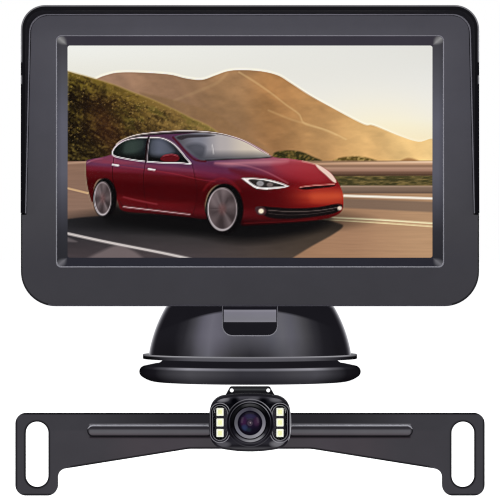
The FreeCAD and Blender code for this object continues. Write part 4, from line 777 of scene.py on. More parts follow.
def rr(hx, top, low, r_top, r_low=None, n=10, y=0.0, cx=0.0):
    """A rounded rectangle in the XZ plane, in metres from mm: half width hx, from low to top, as a ring of points. Goes counter-clockwise
    as seen from -Y, starting at the lower right."""
    r_low = r_top if r_low is None else r_low
    pts = []
    for sx, zz, r, a0 in ((1, low, r_low, -90), (1, top, r_top, 0), (-1, top, r_top, 90), (-1, low, r_low, 180)):
        ccx = sx * (hx - r)
        ccz = zz + r if zz == low else zz - r
        for i in range(n + 1):
            a = math.radians(a0 + 90 * i / n)
            pts.append((cx + ccx + r * math.cos(a), y, ccz + r * math.sin(a)))
    return np.array(pts) * MM


def lathe(name, profile, slot, body, axis="Z", centre=(0, 0, 0), segs=128, closed=False, **kw):
    """Turns a profile of (radius, height) points, in mm, about an axis through centre (mm)."""
    loops = []
    for r, h in profile:
        a = np.linspace(0, 2 * math.pi, segs, endpoint=False)
        if axis == "Z":
            loops.append(np.stack([centre[0] + r * np.cos(a), centre[1] + r * np.sin(a), np.full(segs, centre[2] + h)], 1) * MM)
        else:
            loops.append(np.stack([centre[0] + r * np.cos(a), np.full(segs, centre[1] + h), centre[2] + r * np.sin(a)], 1) * MM)
    return tube(name, loops, slot, body, closed=closed, **kw)


def arc(cx, cy, r, a0, a1, n=6):
    return [(cx + r * math.cos(math.radians(a0 + (a1 - a0) * i / n)), cy + r * math.sin(math.radians(a0 + (a1 - a0) * i / n))) for i in range(n + 1)]


# ---------------------------------------------------------------- the picture
def make_picture():
    lo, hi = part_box("lcd_panel")
    nx, nz = (380, 221)
    zc = 98.35
    xs = np.linspace(-77.0, 77.0, nx + 1)
    zs = np.linspace(zc - 45.0, zc + 45.0, nz + 1)
    gx, gz = np.meshgrid(xs, zs)
    y = (lo.y - 0.00004)
    depth = (y + 1.666) / 1.6
    # where each point is seen against the opening, from straight in front
    sx = gx / depth
    sz = 57.2 + (gz - 57.2) / depth
    px = (250 + sx * 2.396 - 60) * 4.126
    py = (250 - (sz - 57.2) * 2.396 - 40) * 4.126
    # four samples to a cell, so that thin lines don't bead
    col = sum(paint_picture((px + ox).ravel(), (py + oy).ravel()) for ox, oy in ((-1, -1), (1, -1), (-1, 1), (1, 1))).reshape(nz + 1, nx + 1, 3) / 4
    # crispness: what a soft copy of the picture lacks is added back
    pad = np.pad(col, ((1, 1), (1, 1), (0, 0)), mode="edge")
    soft = (pad[:-2, 1:-1] + pad[2:, 1:-1] + pad[1:-1, :-2] + pad[1:-1, 2:] + pad[:-2, :-2] + pad[2:, 2:] + pad[:-2, 2:] + pad[2:, :-2] + col) / 9
    crisp = np.clip((gz - 69.0) / 6.0, 0.4, 1)[..., None] * 0.85
    col = col + crisp * (col - soft)
    # the low sun's haze over the right end of the far hills
    haze = (0.2 * np.exp(-(((px / 4.126 + 60) - 385) / 75) ** 2 - (((py / 4.126 + 40) - 128) / 26) ** 2))[..., None]
    haze = haze * np.clip((0.68 - col[..., 2:3]) / 0.1, 0, 1)
    col = col * (1 - haze) + np.array([1.0, 0.87, 0.62]) * haze
    col = np.clip(col, 0, 1).reshape(-1, 3)
    verts = np.stack([gx.ravel() * MM, np.full(gx.size, y), gz.ravel() * MM], 1)
    idx = np.arange((nx + 1) * (nz + 1)).reshape(nz + 1, nx + 1)
    faces = np.stack([idx[:-1, :-1].ravel(), idx[:-1, 1:].ravel(), idx[1:, 1:].ravel(), idx[1:, :-1].ravel()], 1)
    me = bpy.data.meshes.new("screen_picture")
    me.vertices.add(len(verts))
    me.vertices.foreach_set("co", verts.astype(np.float32).ravel())
    me.loops.add(faces.size)
    me.loops.foreach_set("vertex_index", faces.astype(np.int32).ravel())
    me.polygons.add(len(faces))
    me.polygons.foreach_set("loop_start", np.arange(0, faces.size, 4, dtype=np.int32))
    me.update()
    me.validate()
    linear = np.where(col <= 0.04045, col / 12.92, ((col + 0.055) / 1.055) ** 2.4)
    at = me.color_attributes.new("picture", "FLOAT_COLOR", "POINT")
    at.data.foreach_set("color", np.concatenate([linear, np.ones((len(linear), 1))], 1).astype(np.float32).ravel())
    me.materials.append(MATS["display"])
    o = bpy.data.objects.new("screen_picture", me)
    scene.collection.objects.link(o)
    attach(o, "monitor")
    return o


picture = make_picture()


# ---------------------------------------------------------------- finishes with painted studio light and shade
# painted light on the bezel's face: lighter towards the top, darker towards the bottom
def bezel_col(m):
    z = axis_value(m, "Z", MID / MM)
    return ramp_node(m, z, [(-62, "39383d"), (-44, "3a393f"), (-26, "403f44"), (0, "49484f"), (20, "4d4c54"), (40, "504f57"), (58, "53525a")], -63, 63)


# painted light on the side bevels: lighter round the middle height, with painted shade towards their outer edge
def side_bevel_col(m):
    z = axis_value(m, "Z", MID / MM)
    tall = side_bevel_tall(m, z)
    ax_ = m.node("Math", operation="ABSOLUTE")
    m.link(axis_value(m, "X"), ax_.inputs[0])
    return m.blend(m.span(ax_.outputs[0], 0.0, 0.42, 78.6, 81.4), tall, lin("26252a"))


def side_bevel_tall(m, z):
    return ramp_node(m, z, [(-44, "2d2d32"), (-32, "333339"), (-8, "5c5c67"), (14, "62626e"), (34, "525259"), (46, "47464c")], -48, 52)


MATS["bezel_face"] = painted_light_surface("bezel_face", bezel_col, 0.24, 0.45, 0.12, grain=0.0012, grain_scale=3000, painted_glow_strength=0.72)
def corner_glow(m, col):
    """Painted highlights on the mitre lines of the bevel: a short bright band along each corner's diagonal."""
    x, z = axis_value(m, "X"), axis_value(m, "Z", 98.35)
    parts = []
    for v, inner, width in ((x, 76.3, 4.5), (z, 44.35, 3.9)):
        a = m.node("Math", operation="ABSOLUTE")
        m.link(v, a.inputs[0])
        parts.append(m.span(a.outputs[0], 0.0, 1.0, inner, inner + width))
    gap = m.node("Math", operation="SUBTRACT")
    m.link(parts[0], gap.inputs[0])
    m.link(parts[1], gap.inputs[1])
    ag = m.node("Math", operation="ABSOLUTE")
    m.link(gap.outputs[0], ag.inputs[0])
    both = m.node("Math", operation="MAXIMUM")
    m.link(parts[0], both.inputs[0])
    m.link(parts[1], both.inputs[1])
    f = m.node("Math", operation="MULTIPLY")
    m.link(m.span(ag.outputs[0], 0.72, 0.0, 0.0, 0.72), f.inputs[0])
    near = m.node("Math", operation="MINIMUM")
    m.link(m.span(both.outputs[0], 0.0, 1.0, 0.0, 0.3), near.inputs[0])
    far = m.node("Math", operation="MINIMUM")
    m.link(m.span(parts[0], 0.0, 1.0, 0.0, 0.3), far.inputs[0])
    m.link(m.span(parts[1], 0.0, 1.0, 0.0, 0.3), far.inputs[1])
    m.link(far.outputs[0], near.inputs[1])
    m.link(near.outputs[0], f.inputs[1])
    return m.blend(f.outputs[0], col, ramp_node(m, z, [(-46, "7b7a80"), (0, "7b7a80"), (46, "a3a2a2")], -50, 50))


MATS["bezel_side"] = painted_light_surface("bezel_side", lambda m: corner_glow(m, side_bevel_col(m)), 0.12, 0.4, 0.0, painted_glow_strength=0.82)
# painted shade on the top and bottom bevels, with the painted corner highlights
MATS["bevel_painted_shade"] = painted_light_surface("bevel_painted_shade", lambda m: corner_glow(m, ramp_node(m, axis_value(m, "Z", MID / MM), [(-46, "2a2a32"), (46, "3a3740")], -50, 50)), 0.05, 0.4, 0.0, painted_glow_strength=0.95)
# painted highlight for the thin chamfer strips along the panel's edge and the bevel's outer edge
MATS["edge_light"] = painted_light_surface("edge_light", lambda m: ramp_node(m, axis_value(m, "Z", MID / MM), [(-60, "5c5b62"), (-20, "6c6b72"), (60, "7c7a84")], -64, 64), 1.0, 0.3, 0.4, painted_glow_strength=0.4)
# painted light on the hood's inside: near black, painted a little lighter towards the top, and given mostly as a
# painted glow
MATS["inner_hood_painted_light"] = painted_light_surface("inner_hood_painted_light", lambda m: ramp_node(m, axis_value(m, "Z", MID / MM), [(-24, "131217"), (62, "18171c")], -30, 64), 0.08, 0.5, 0.03, painted_glow_strength=0.55)
# painted shade: the rounded outer edges of the bezel's face at the sides, in a darker copy of its plastic
MATS["rounded_bezel_painted_shade"] = surface("rounded_bezel_painted_shade", lin("1b1a1e"), 0.4, spec=0.2, grain=0.002)
# painted highlight for the line along the hood's front rim
MATS["hood_edge"] = painted_light_surface("hood_edge", lambda m: ramp_node(m, axis_value(m, "Z", MID / MM), [(-24, "3c3b40"), (0, "6a696d"), (50, "7a797d"), (59, "6a696d"), (62, "77767a")], -30, 64), 0.1, 0.4, 0.0, painted_glow_strength=1.0)

# the dome's painted light: dark at the sides, two broad soft painted reflection bands either side of the middle, darker
# towards the foot in the middle; BACK holds the painted bands seen from behind
BACK = [(-178, "4a494f"), (-160, "5c5a63"), (-148, "66646e"), (-132, "3c3b40"), (-112, "1c1b20")]
DOME = BACK + [(-70, "1c1b20"), (-50, "1c1b20"), (-42, "2a292e"), (-36, "45444a"), (-30, "605e69"), (-24, "6c6a75"), (-18, "64626d"), (-10, "57565e"), (-3, "515057"), (5, "54535a"), (12, "595962"), (19, "636269"), (25, "5c5b64"), (30, "55545a"), (35, "464549"), (41, "302f34"), (48, "1f1e23"), (60, "1a191e"), (70, "1a191e")] + [(-v, h) for v, h in BACK]


def dome_col(m):
    ang = turn_value(m)
    a = ramp_node(m, ang, DOME, -180, 180)
    low = ramp_node(m, ang, BACK + [(-v, h) for v, h in BACK] + [(-75, "1b1a1f"), (-62, "18171b"), (-47, "18171b"), (-36, "333237"), (-30, "54535a"), (-24, "62616a"), (-19, "514f57"), (-10, "39383c"), (0, "2a292e"),
                             (10, "37363b"), (17, "4b4b51"), (24, "545359"), (30, "49484d"), (37, "343338"), (46, "1f1e23"), (60, "18171b"), (75, "1b1a1f")], -180, 180)
    z = axis_value(m, "Z")
    c = m.blend(m.span(z, 1.0, 0.0, 12.5, 20.5), a, low)
    # painted shade: the soft dark arch below the monitor, the dome's dark reflection of its underside, higher in the
    # middle than at the sides
    x = axis_value(m, "X")
    sq = m.node("Math", operation="MULTIPLY")
    m.link(x, sq.inputs[0])
    m.link(x, sq.inputs[1])
    arch = m.node("Math", operation="MULTIPLY_ADD")
    m.link(sq.outputs[0], arch.inputs[0])
    arch.inputs[1].default_value = 0.0062
    m.link(z, arch.inputs[2])
    c = m.blend(m.span(arch.outputs[0], 0.0, 1.0, 31.2, 32.2), c, lin("19181d"))
    # painted highlight: the narrow light rim where the shell turns away from the viewer
    lw = m.node("LayerWeight", Blend=0.5)
    rim = ramp_node(m, lw.outputs["Facing"], [(0.69, "1c1b20"), (0.72, "232227"), (0.75, "2e2d32"), (0.785, "47464b"), (0.825, "68676c"), (0.87, "939297"), (0.93, "b0afb4"), (1.0, "c4c4c8")], 0.68, 1.0)
    return m.blend(m.span(lw.outputs["Facing"], 0.0, 1.0, 0.69, 0.72), c, rim)


MATS["dome"] = painted_light_surface("dome", dome_col, 0.05, 0.45, 0.0, grain=0.001, grain_scale=2000, painted_glow_strength=0.97)
# painted light on the flange's rim: a painted highlight along its top edge, with painted shade falling to near black at
# the ends
MATS["flange_edge"] = painted_light_surface("flange_edge", lambda m: m.blend(m.span(axis_value(m, "Z"), 0.0, 1.0, 11.25, 11.75),
                            ramp_node(m, turn_value(m), [(-85, "050507"), (-66, "0a0a0c"), (-58, "1b1a1e"), (-46, "3a393e"), (-30, "57565c"), (0, "58575e"), (30, "56555b"), (46, "3c3b40"), (58, "1e1d22"), (66, "100f13"), (85, "050507")], -90, 90),
                            ramp_node(m, turn_value(m), [(-85, "55545a"), (-70, "77767b"), (-58, "99989d"), (-42, "98979c"), (-27, "949399"), (0, "7a797e"), (27, "918f96"), (42, "98979c"), (58, "9e9da2"), (70, "77767b"), (85, "55545a")], -90, 90)),
                            0.05, 0.45, 0.0, grain=0.001, painted_glow_strength=0.97)
# painted light on the suction cup: soft painted bands on the side wall (WALL), darker towards its foot (WALL_LOW), a
# painted highlight along the crest (CREST), and the slope above it painted dark
WALL = [(-88, "08080a"), (-75, "0f0e12"), (-58, "18171c"), (-46, "38373c"), (-32, "4a494e"), (-18, "414045"), (-5, "333238"), (8, "35343a"), (22, "434247"), (36, "4b4a50"), (48, "343338"), (60, "17161a"), (75, "131216"), (88, "08080a")]
WALL_LOW = [(-75, "0c0b0e"), (-58, "100f12"), (-46, "222125"), (-32, "333237"), (-15, "28272c"), (0, "232227"), (15, "29282d"), (34, "323136"), (48, "202024"), (60, "0f0e11"), (75, "0c0b0e")]
CREST = [(-80, "0c0b0e"), (-62, "26252a"), (-50, "55545a"), (-34, "9b9aa2"), (-20, "84838b"), (-6, "6a6971"), (6, "6a6971"), (20, "86858d"), (33, "9b9aa2"), (48, "5c5b61"), (60, "242328"), (80, "0c0b0e")]


def cup_col(m):
    z, ang = axis_value(m, "Z"), turn_value(m)
    wall = m.blend(m.span(z, 0.0, 1.0, 1.2, 4.2), ramp_node(m, ang, WALL_LOW, -90, 90), ramp_node(m, ang, WALL, -90, 90))
    crest = m.blend(m.span(z, 0.0, 1.0, 5.75, 6.45), wall, ramp_node(m, ang, CREST, -90, 90))
    return m.blend(m.span(z, 0.0, 1.0, 6.85, 7.15), crest, lin("1a191e"))


MATS["cup_painted_light"] = painted_light_surface("cup_painted_light", cup_col, 0.05, 0.5, 0.0, grain=0.001, painted_glow_strength=0.97)
# painted shade: a near-black finish standing for the shade in deep pits
MATS["deep_pit_painted_shade"] = surface("deep_pit_painted_shade", [0.0025, 0.0025, 0.003], 0.7, spec=0.0, grain=0.001)
# painted shade for the lever's recess and the parts seen in it: dark, a little darker near the top, given as a painted
# glow
MATS["recess_painted_shade"] = painted_light_surface("recess_painted_shade", lambda m: ramp_node(m, axis_value(m, "Z"), [(20, "1b1a1f"), (26.3, "1c1b20"), (27.2, "100f14")], 18, 30), 0.03, 0.6, 0.0, grain=0.001, painted_glow_strength=0.98)
# painted light on the lever's tab: a flat painted reflection, and above it a band of painted shade where the monitor's
# dark arch crosses
MATS["tab_painted_light"] = painted_light_surface("tab_painted_light", lambda m: ramp_node(m, axis_value(m, "Z"), [(26.9, "817f88"), (27.8, "7b7a82"), (30.6, "7d7b86"), (31.2, "888691"), (31.6, "888691"), (31.95, "16151c"), (32.8, "18171d"), (33.2, "2a292f")], 26, 36), 0.05, 0.45, 0.0, painted_glow_strength=0.97)
# painted highlight for the thin line round the lever's opening
MATS["slot_edge"] = painted_light_surface("slot_edge", lambda m: ramp_node(m, axis_value(m, "Z"), [(20, "807f86"), (36, "6c6b73")], 18, 36), 1.0, 0.3, 0.3, painted_glow_strength=0.4)

# the bar's painted light: its face, painted darker above the bead than below, and the pressed bead with a painted lit
# upper slope, a dark groove, a lit crest and a shaded lower slope
ZB = -14.6


def bar_col(m):
    x = axis_value(m, "X")
    ax = m.node("Math", operation="ABSOLUTE")
    m.link(x, ax.inputs[0])
    z = axis_value(m, "Z", ZB)
    low = ramp_node(m, ax.outputs[0], [(15, "49464a"), (30, "49444a"), (48, "464146"), (62, "403e43"), (97, "3e3d42")], 10, 98)
    top = ramp_node(m, ax.outputs[0], [(15, "29282d"), (34, "2a292d"), (50, "333236"), (66, "3b3a3f"), (97, "3e3d42")], 10, 98)
    c = m.blend(m.span(z, 0.0, 1.0, -4.0, -3.0), low, top)
    bead = ramp_node(m, z, [(-7.0, "453f45"), (-6.55, "2b262b"), (-6.1, "201b20"), (-5.6, "2c272c"), (-5.1, "555055"), (-4.2, "605e63"), (-3.4, "5c5b60"), (-2.9, "3a383d"), (-2.45, "29272c"),
                            (-2.0, "333137"), (-1.6, "6a696e"), (-1.1, "757479"), (-0.75, "515055"), (-0.35, "2b2a2e")], -7.2, -0.2)
    inside = m.span(ax.outputs[0], 1.0, 0.0, 66.6, 67.4)
    band = m.node("Math", operation="MULTIPLY")
    m.link(m.span(z, 0.0, 1.0, -7.1, -6.8), band.inputs[0])
    m.link(m.span(z, 1.0, 0.0, -0.55, -0.25), band.inputs[1])
    both = m.node("Math", operation="MULTIPLY")
    m.link(band.outputs[0], both.inputs[0])
    m.link(inside, both.inputs[1])
    c = m.blend(both.outputs[0], c, bead)

    def maths(op, a, b, third=None):
        k = m.node("Math", operation=op)
        for i, v in enumerate((a, b, third)):
            if v is None:
                continue
            if isinstance(v, (int, float)):
                k.inputs[i].default_value = v
            else:
                m.link(v, k.inputs[i])
        return k.outputs[0]

    absx = ax.outputs[0]
    slope = maths("MULTIPLY_ADD", maths("MAXIMUM", maths("SUBTRACT", absx, 25.5), 0.0), 0.1594, maths("ADD", z, 11.2))
    slope = maths("ADD", slope, m.span(absx, 0.0, 30.0, 75.0, 76.5))
    near_edge = maths("MINIMUM", maths("MINIMUM", slope, maths("SUBTRACT", 97.95, absx)), maths("MINIMUM", maths("SUBTRACT", 3.8, z), maths("ADD", z, 30.7)))
    # the slots' rims: the distance from each slot's outline, a stadium 9.5 wide and 27.3 long
    over = maths("MAXIMUM", maths("SUBTRACT", maths("ABSOLUTE", maths("ADD", z, 13.5), None), 13.65 - 4.75), 0.0)
    side = maths("SUBTRACT", absx, 88.9)
    dist = maths("SUBTRACT", maths("SQRT", maths("ADD", maths("MULTIPLY", over, over), maths("MULTIPLY", side, side)), None), 4.75)
    near_edge = maths("MINIMUM", near_edge, maths("ADD", dist, 0.05))
    # painted shade: darker within about a millimetre of the bar's edges and the slots' rims
    return m.blend(m.span(near_edge, 1.0, 0.0, 0.35, 1.0), c, lin("131216"))


MATS["bar_face"] = painted_light_surface("bar_face", bar_col, 0.2, 0.55, 0.05, grain=0.005, grain_scale=2200, painted_glow_strength=0.76)
# painted shade on the plate's edge faces and its downward sloping faces, a painted highlight on its upward sloping
# faces such as the bead's upper slope
MATS["plate_edge_painted_shade"] = surface("plate_edge_painted_shade", lin("08080a"), 0.6, spec=0.0, grain=0.002)
MATS["upper_bead_painted_highlight"] = surface("upper_bead_painted_highlight", lin("8d8c93"), 0.4, spec=0.4, grain=0.003)
MATS["lower_bead_painted_shade"] = surface("lower_bead_painted_shade", lin("17151a"), 0.5, spec=0.2, grain=0.003)
CZ = CAM_Z / MM


def lens_angle(m):
    """The angle round the lens in degrees: 0 at the top, positive to the viewer's right."""
    a = m.node("Math", operation="ARCTAN2")
    m.link(axis_value(m, "X"), a.inputs[0])
    m.link(axis_value(m, "Z", CZ), a.inputs[1])
    d = m.node("Math", operation="MULTIPLY")
    m.link(a.outputs[0], d.inputs[0])
    d.inputs[1].default_value = 57.29578
    return d.outputs[0]


def patch_of(m, cx, cz, rx, rz, strength):
    """A soft elliptic patch on the camera's face, as a 0 to 1 factor."""
    parts = []
    for which, c0, r0 in (("X", cx, rx), ("Z", CZ + cz, rz)):
        q = m.node("Math", operation="MULTIPLY")
        m.link(m.span(axis_value(m, which), -1.0, 1.0, c0 - r0, c0 + r0), q.inputs[0])
        m.link(q.inputs[0].links[0].from_socket, q.inputs[1])
        parts.append(q.outputs[0])
    add = m.node("Math", operation="ADD")
    m.link(parts[0], add.inputs[0])
    m.link(parts[1], add.inputs[1])
    return m.span(add.outputs[0], strength, 0.0, 0.1, 1.0)


# painted light on the camera's face: lighter bands near the top and bottom, painted highlights at the corners, and
# painted dark reflections by the collar
def case_col(m):
    col = ramp_node(m, axis_value(m, "Z", CZ), [(-11.5, "3a393d"), (-10.6, "48474b"), (-9.6, "19181d"), (-8.3, "2a292f"), (-7.0, "24232a"), (-5.6, "121116"), (4, "08080c"), (7.6, "0a0a0e"), (9.2, "2c2b31"), (10.4, "434249"), (11.4, "323136")], -12, 12)
    for cx, cz, rx, rz, k, h in ((-6.4, 8.9, 2.4, 2.6, 1.0, "040408"), (5.4, 8.7, 3.0, 2.6, 1.0, "040408"), (-11.6, 9.7, 3.4, 1.5, 0.95, "7a797e"), (10.9, 9.6, 3.2, 1.4, 0.85, "68676c"),
                                 (-11.0, -8.9, 3.6, 1.5, 0.9, "56555b"), (11.4, -8.7, 3.8, 1.8, 0.95, "706f74"), (1.6, 10.0, 2.6, 0.9, 0.5, "58575c")):
        col = m.blend(patch_of(m, cx, cz, rx, rz, k), col, lin(h))
    return col


# painted light on the case's rounded rim: a painted highlight down the right side, the left side painted a lighter grey
def case_rim_col(m):
    col = ramp_node(m, axis_value(m, "Z", CZ), [(-11.5, "2c2b2f"), (-10, "2a292d"), (-8, "19181d"), (-4, "121116"), (0, "17161b"), (4, "121116"), (8, "1c1b20"), (10, "242328"), (11.4, "1b1a1f")], -12, 12)
    x = axis_value(m, "X")
    col = m.blend(m.span(x, 0.0, 1.0, 15.5, 16.1), col, ramp_node(m, axis_value(m, "Z", CZ), [(-9, "6a696e"), (-4, "c2c1c6"), (0, "8a898e"), (4, "98979c"), (7, "45444a"), (10, "1a191e")], -12, 12))
    return m.blend(m.span(x, 1.0, 0.0, -16.3, -15.8), col, lin("28272b"))


MATS["case_face"] = painted_light_surface("case_face", case_col, 0.04, 0.35, 0.0, grain=0.0008, painted_glow_strength=0.97)
MATS["case_rim"] = painted_light_surface("case_rim", case_rim_col, 0.04, 0.35, 0.0, grain=0.0008, painted_glow_strength=0.97)
# painted highlights, varying round the lens axis: case_line for a line round the case, collar_line for the collar's two
# lines
MATS["case_line"] = painted_light_surface("case_line", lambda m: ramp_node(m, lens_angle(m), [(-180, "4c4b50"), (-150, "6c6b70"), (-120, "3a393e"), (-75, "77767c"), (-50, "56555a"), (-20, "7f7e84"), (15, "7a797f"), (45, "4c4b50"), (80, "83828a"), (120, "3c3b40"), (150, "747378"), (180, "4c4b50")], -180, 180),
                          0.1, 0.35, 0.08, grain=0.0006, painted_glow_strength=1.0)
MATS["collar_line"] = painted_light_surface("collar_line", lambda m: ramp_node(m, lens_angle(m), [(-180, "3a393e"), (-135, "2a292e"), (-110, "1c1b20"), (-80, "34333a"), (-55, "3f3e43"), (-25, "5a595e"), (0, "77767b"), (25, "66656a"), (50, "8a898e"), (75, "3c3b42"), (100, "1a191e"), (140, "3a393e"), (180, "3a393e")], -180, 180),
                            0.05, 0.4, 0.0, grain=0.0006, painted_glow_strength=1.0)
# painted light on the barrel's face: near black, with a painted highlight crescent round its lower part and a fainter
# one at the top
def barrel_col(m):
    sq = []
    for v in (axis_value(m, "X"), axis_value(m, "Z", CZ)):
        q = m.node("Math", operation="MULTIPLY")
        m.link(v, q.inputs[0])
        m.link(v, q.inputs[1])
        sq.append(q.outputs[0])
    add = m.node("Math", operation="ADD")
    m.link(sq[0], add.inputs[0])
    m.link(sq[1], add.inputs[1])
    arc = ramp_node(m, lens_angle(m), [(-180, "8b8a8f"), (-150, "5e5d64"), (-125, "1c1b22"), (-100, "050507"), (-30, "161618"), (-8, "434345"), (12, "3e3e40"), (35, "1c1c1e"), (60, "050507"), (100, "09090c"), (125, "26252b"), (150, "8a898e"), (180, "8b8a8f")], -180, 180)
    col = m.blend(m.span(add.outputs[0], 0.0, 1.0, 45.0, 52.0), lin("060609"), arc)
    return m.blend(m.span(add.outputs[0], 0.0, 1.0, 61.5, 64.0), col, lin("08080a"))


MATS["barrel_face"] = painted_light_surface("barrel_face", barrel_col, 0.03, 0.5, 0.0, grain=0.0006, painted_glow_strength=1.0)
# painted highlights on the LED window frames' rims
MATS["frame_rim"] = painted_light_surface("frame_rim", lambda m: ramp_node(m, lens_angle(m), [(-130, "8b8a90"), (-100, "5c5b60"), (-70, "66656a"), (-50, "8e8d93"), (50, "8e8d93"), (75, "6a696e"), (100, "5c5b60"), (130, "8f8e94")], -180, 180),
                          0.1, 0.35, 0.08, grain=0.0006, painted_glow_strength=0.95)
# the swivel bracket's own black, with a painted highlight along its fold
MATS["black_bracket_painted_highlight"] = painted_light_surface("black_bracket_painted_highlight", lambda m: ramp_node(m, axis_value(m, "Z", CZ), [(10.2, "0d0c10"), (11.2, "101013"), (12.2, "17161a"), (12.9, "3f4142"), (13.4, "242426"), (14.2, "1b1b1d")], 10, 14.6),
                              0.08, 0.4, 0.06, grain=0.001, painted_glow_strength=0.85)
# painted reflections on the lens ring: lighter towards the bottom and sides, darker at the top, with painted shade
# inside
def ring_col(m):
    col = ramp_node(m, lens_angle(m), [(-180, "848389"), (-120, "6c6c76"), (-90, "5a5960"), (-30, "4b4a54"), (0, "3f3d47"), (30, "545359"), (60, "636269"), (90, "76757e"), (125, "929097"), (150, "929198"), (180, "848389")], -180, 180)
    sq = []
    for v in (axis_value(m, "X"), axis_value(m, "Z", CZ)):
        q = m.node("Math", operation="MULTIPLY")
        m.link(v, q.inputs[0])
        m.link(v, q.inputs[1])
        sq.append(q.outputs[0])
    add = m.node("Math", operation="ADD")
    m.link(sq[0], add.inputs[0])
    m.link(sq[1], add.inputs[1])
    return m.blend(m.span(add.outputs[0], 0.0, 1.0, 24.8, 27.0), lin("171520"), col)


MATS["ring_painted_reflection"] = painted_light_surface("ring_painted_reflection", ring_col, 0.06, 0.35, 0.0, grain=0.0006, painted_glow_strength=0.96)


# ---------------------------------------------------------------- where each finish goes
FRONT = FACE / MM


def bezel_rules():
    def side(c, n):
        return (np.abs(n[:, 0]) > 0.2) & (np.abs(c[:, 0]) < 81.5) & (c[:, 1] < FRONT + 3.5)

    def updown(c, n):
        return (np.abs(n[:, 2]) > 0.2) & (np.abs(c[:, 0]) < 81.5) & (np.abs(c[:, 2] - 98.35) < 48.6) & (c[:, 1] < FRONT + 3.5)

    def face(c, n):
        return (n[:, 1] < -0.9) & (c[:, 1] < FRONT + 0.2)

    def rounded(c, n):
        return (c[:, 1] < FRONT + 1.3) & (n[:, 1] < -0.2) & (n[:, 1] > -0.95) & (np.abs(c[:, 0]) > 84)
    return [(MATS["bezel_face"], face), (MATS["bezel_side"], side), (MATS["bevel_painted_shade"], updown), (MATS["rounded_bezel_painted_shade"], rounded)]


retag("front_bezel", *bezel_rules())


def hood_inside(c, n):
    zz = c[:, 2] - MID / MM
    return (n[:, 1] < -0.5) | ((n[:, 0] * np.sign(c[:, 0]) < -0.3) & (np.abs(c[:, 0]) > 80)) | ((n[:, 2] < -0.3) & (zz > 40))


retag("sun_hood", (MATS["inner_hood_painted_light"], hood_inside))


def radius(c):
    return np.hypot(c[:, 0], c[:, 1])


def dome_skin(c, n):
    out = (n[:, 0] * c[:, 0] + n[:, 1] * c[:, 1]) / np.maximum(radius(c), 1e-6)
    prof = np.interp(c[:, 2], [12, 22.2, 32.2, 36, 39.5, 43.9, 44.4], [43.9, 41.0, 36.0, 33, 28.6, 14, 0])
    return (out > 0.05) & (radius(c) > prof - 1.2)


retag("dome_housing", (MATS["recess_painted_shade"], lambda c, n: (np.abs(c[:, 0]) < 14.2) & (c[:, 2] > 12.2) & (c[:, 2] < 44.0) & (radius(c) < 42) & (c[:, 1] < 17)), (MATS["dome"], dome_skin))
retag("suction_lever", (MATS["recess_painted_shade"], lambda c, n: (np.abs(n[:, 2]) > -1) & ~((n[:, 1] < -0.3) & (radius(c) > 34) & (c[:, 2] > 26.5))),
      (MATS["tab_painted_light"], lambda c, n: (n[:, 1] < -0.25) & (radius(c) > 34.0) & (c[:, 2] > 26.7)))
retag("base_flange", (MATS["flange_edge"], lambda c, n: radius(c) > 45.6))


def front_only(c, n):
    return n[:, 1] < -0.93


retag("camera_front_housing", (MATS["case_rim"], lambda c, n: n[:, 1] < -0.12), (MATS["case_face"], front_only))
retag("swivel_bracket", (MATS["black_bracket_painted_highlight"], lambda c, n: n[:, 1] < 2))
# painted light on the LED boards seen through the windows: dark grey, a little lighter in the middle, given as a
# painted glow
MATS["led_backing_painted_light"] = painted_light_surface("led_backing_painted_light", lambda m: ramp_node(m, axis_value(m, "Z", CZ), [(-9, "242227"), (0, "2d2b30"), (9, "28262b")], -10, 10), 0.04, 0.5, 0.0, painted_glow_strength=0.95)
retag("led_boards", (MATS["led_backing_painted_light"], lambda c, n: n[:, 1] < -0.5))
retag("lens_ring", (MATS["ring_painted_reflection"], lambda c, n: n[:, 1] < 2))
retag("lens_barrel", (MATS["barrel_face"], lambda c, n: n[:, 1] < 2))
# the rod's front faces take the recess's painted shade
retag("pull_rod", (MATS["recess_painted_shade"], lambda c, n: n[:, 1] < 0.4))
retag("suction_cup", (MATS["cup_painted_light"], lambda c, n: radius(c) > 37.0))
retag("plate_bracket", (MATS["plate_edge_painted_shade"], lambda c, n: np.abs(n[:, 1]) < 0.3), (MATS["bar_face"], lambda c, n: n[:, 1] < -0.97),
      (MATS["upper_bead_painted_highlight"], lambda c, n: (n[:, 1] < -0.3) & (n[:, 1] > -0.97) & (n[:, 2] > 0.25)), (MATS["lower_bead_painted_shade"], lambda c, n: (n[:, 1] < -0.3) & (n[:, 1] > -0.97) & (n[:, 2] <= 0.25)))


# ---------------------------------------------------------------- fine chamfer strips with painted highlights
def ring_strip(name, outer, inner, slot_mat, slot, body, n=None):
    o = tube(name, [outer, inner], slot, body, weighted=False)
    o.data.materials.clear()
    o.data.materials.append(MATS[slot_mat])
    return o


def lift(pts, y):
    p = pts.copy()
    p[:, 1] = y * MM
    return p


def door_pts(half_up, half_low, top, low, r, n=12):
    """The hood's line: up one side, over the rounded top, down the other; an open run of points."""
    pts = [(half_low, low)]
    for i in range(n + 1):
        a = math.radians(90 * i / n)
        pts.append((half_up - r + r * math.cos(a), top - r + r * math.sin(a)))
    pts += [(-x, z) for x, z in reversed(pts)]
    return np.array([(x, 0, z + MID / MM) for x, z in pts]) * MM


def open_strip(name, runs, mat, slot, body):
    """Joins open runs of points into a band of faces."""
    n = len(runs[0])
    verts = np.concatenate(runs)
    faces = []
    for i in range(len(runs) - 1):
        for j in range(n - 1):
            faces.append((i * n + j, i * n + j + 1, (i + 1) * n + j + 1, (i + 1) * n + j))
    o = mesh(name, verts, faces, slot, body, weighted=False)
    o.data.materials.clear()
    o.data.materials.append(MATS[mat])
    return o


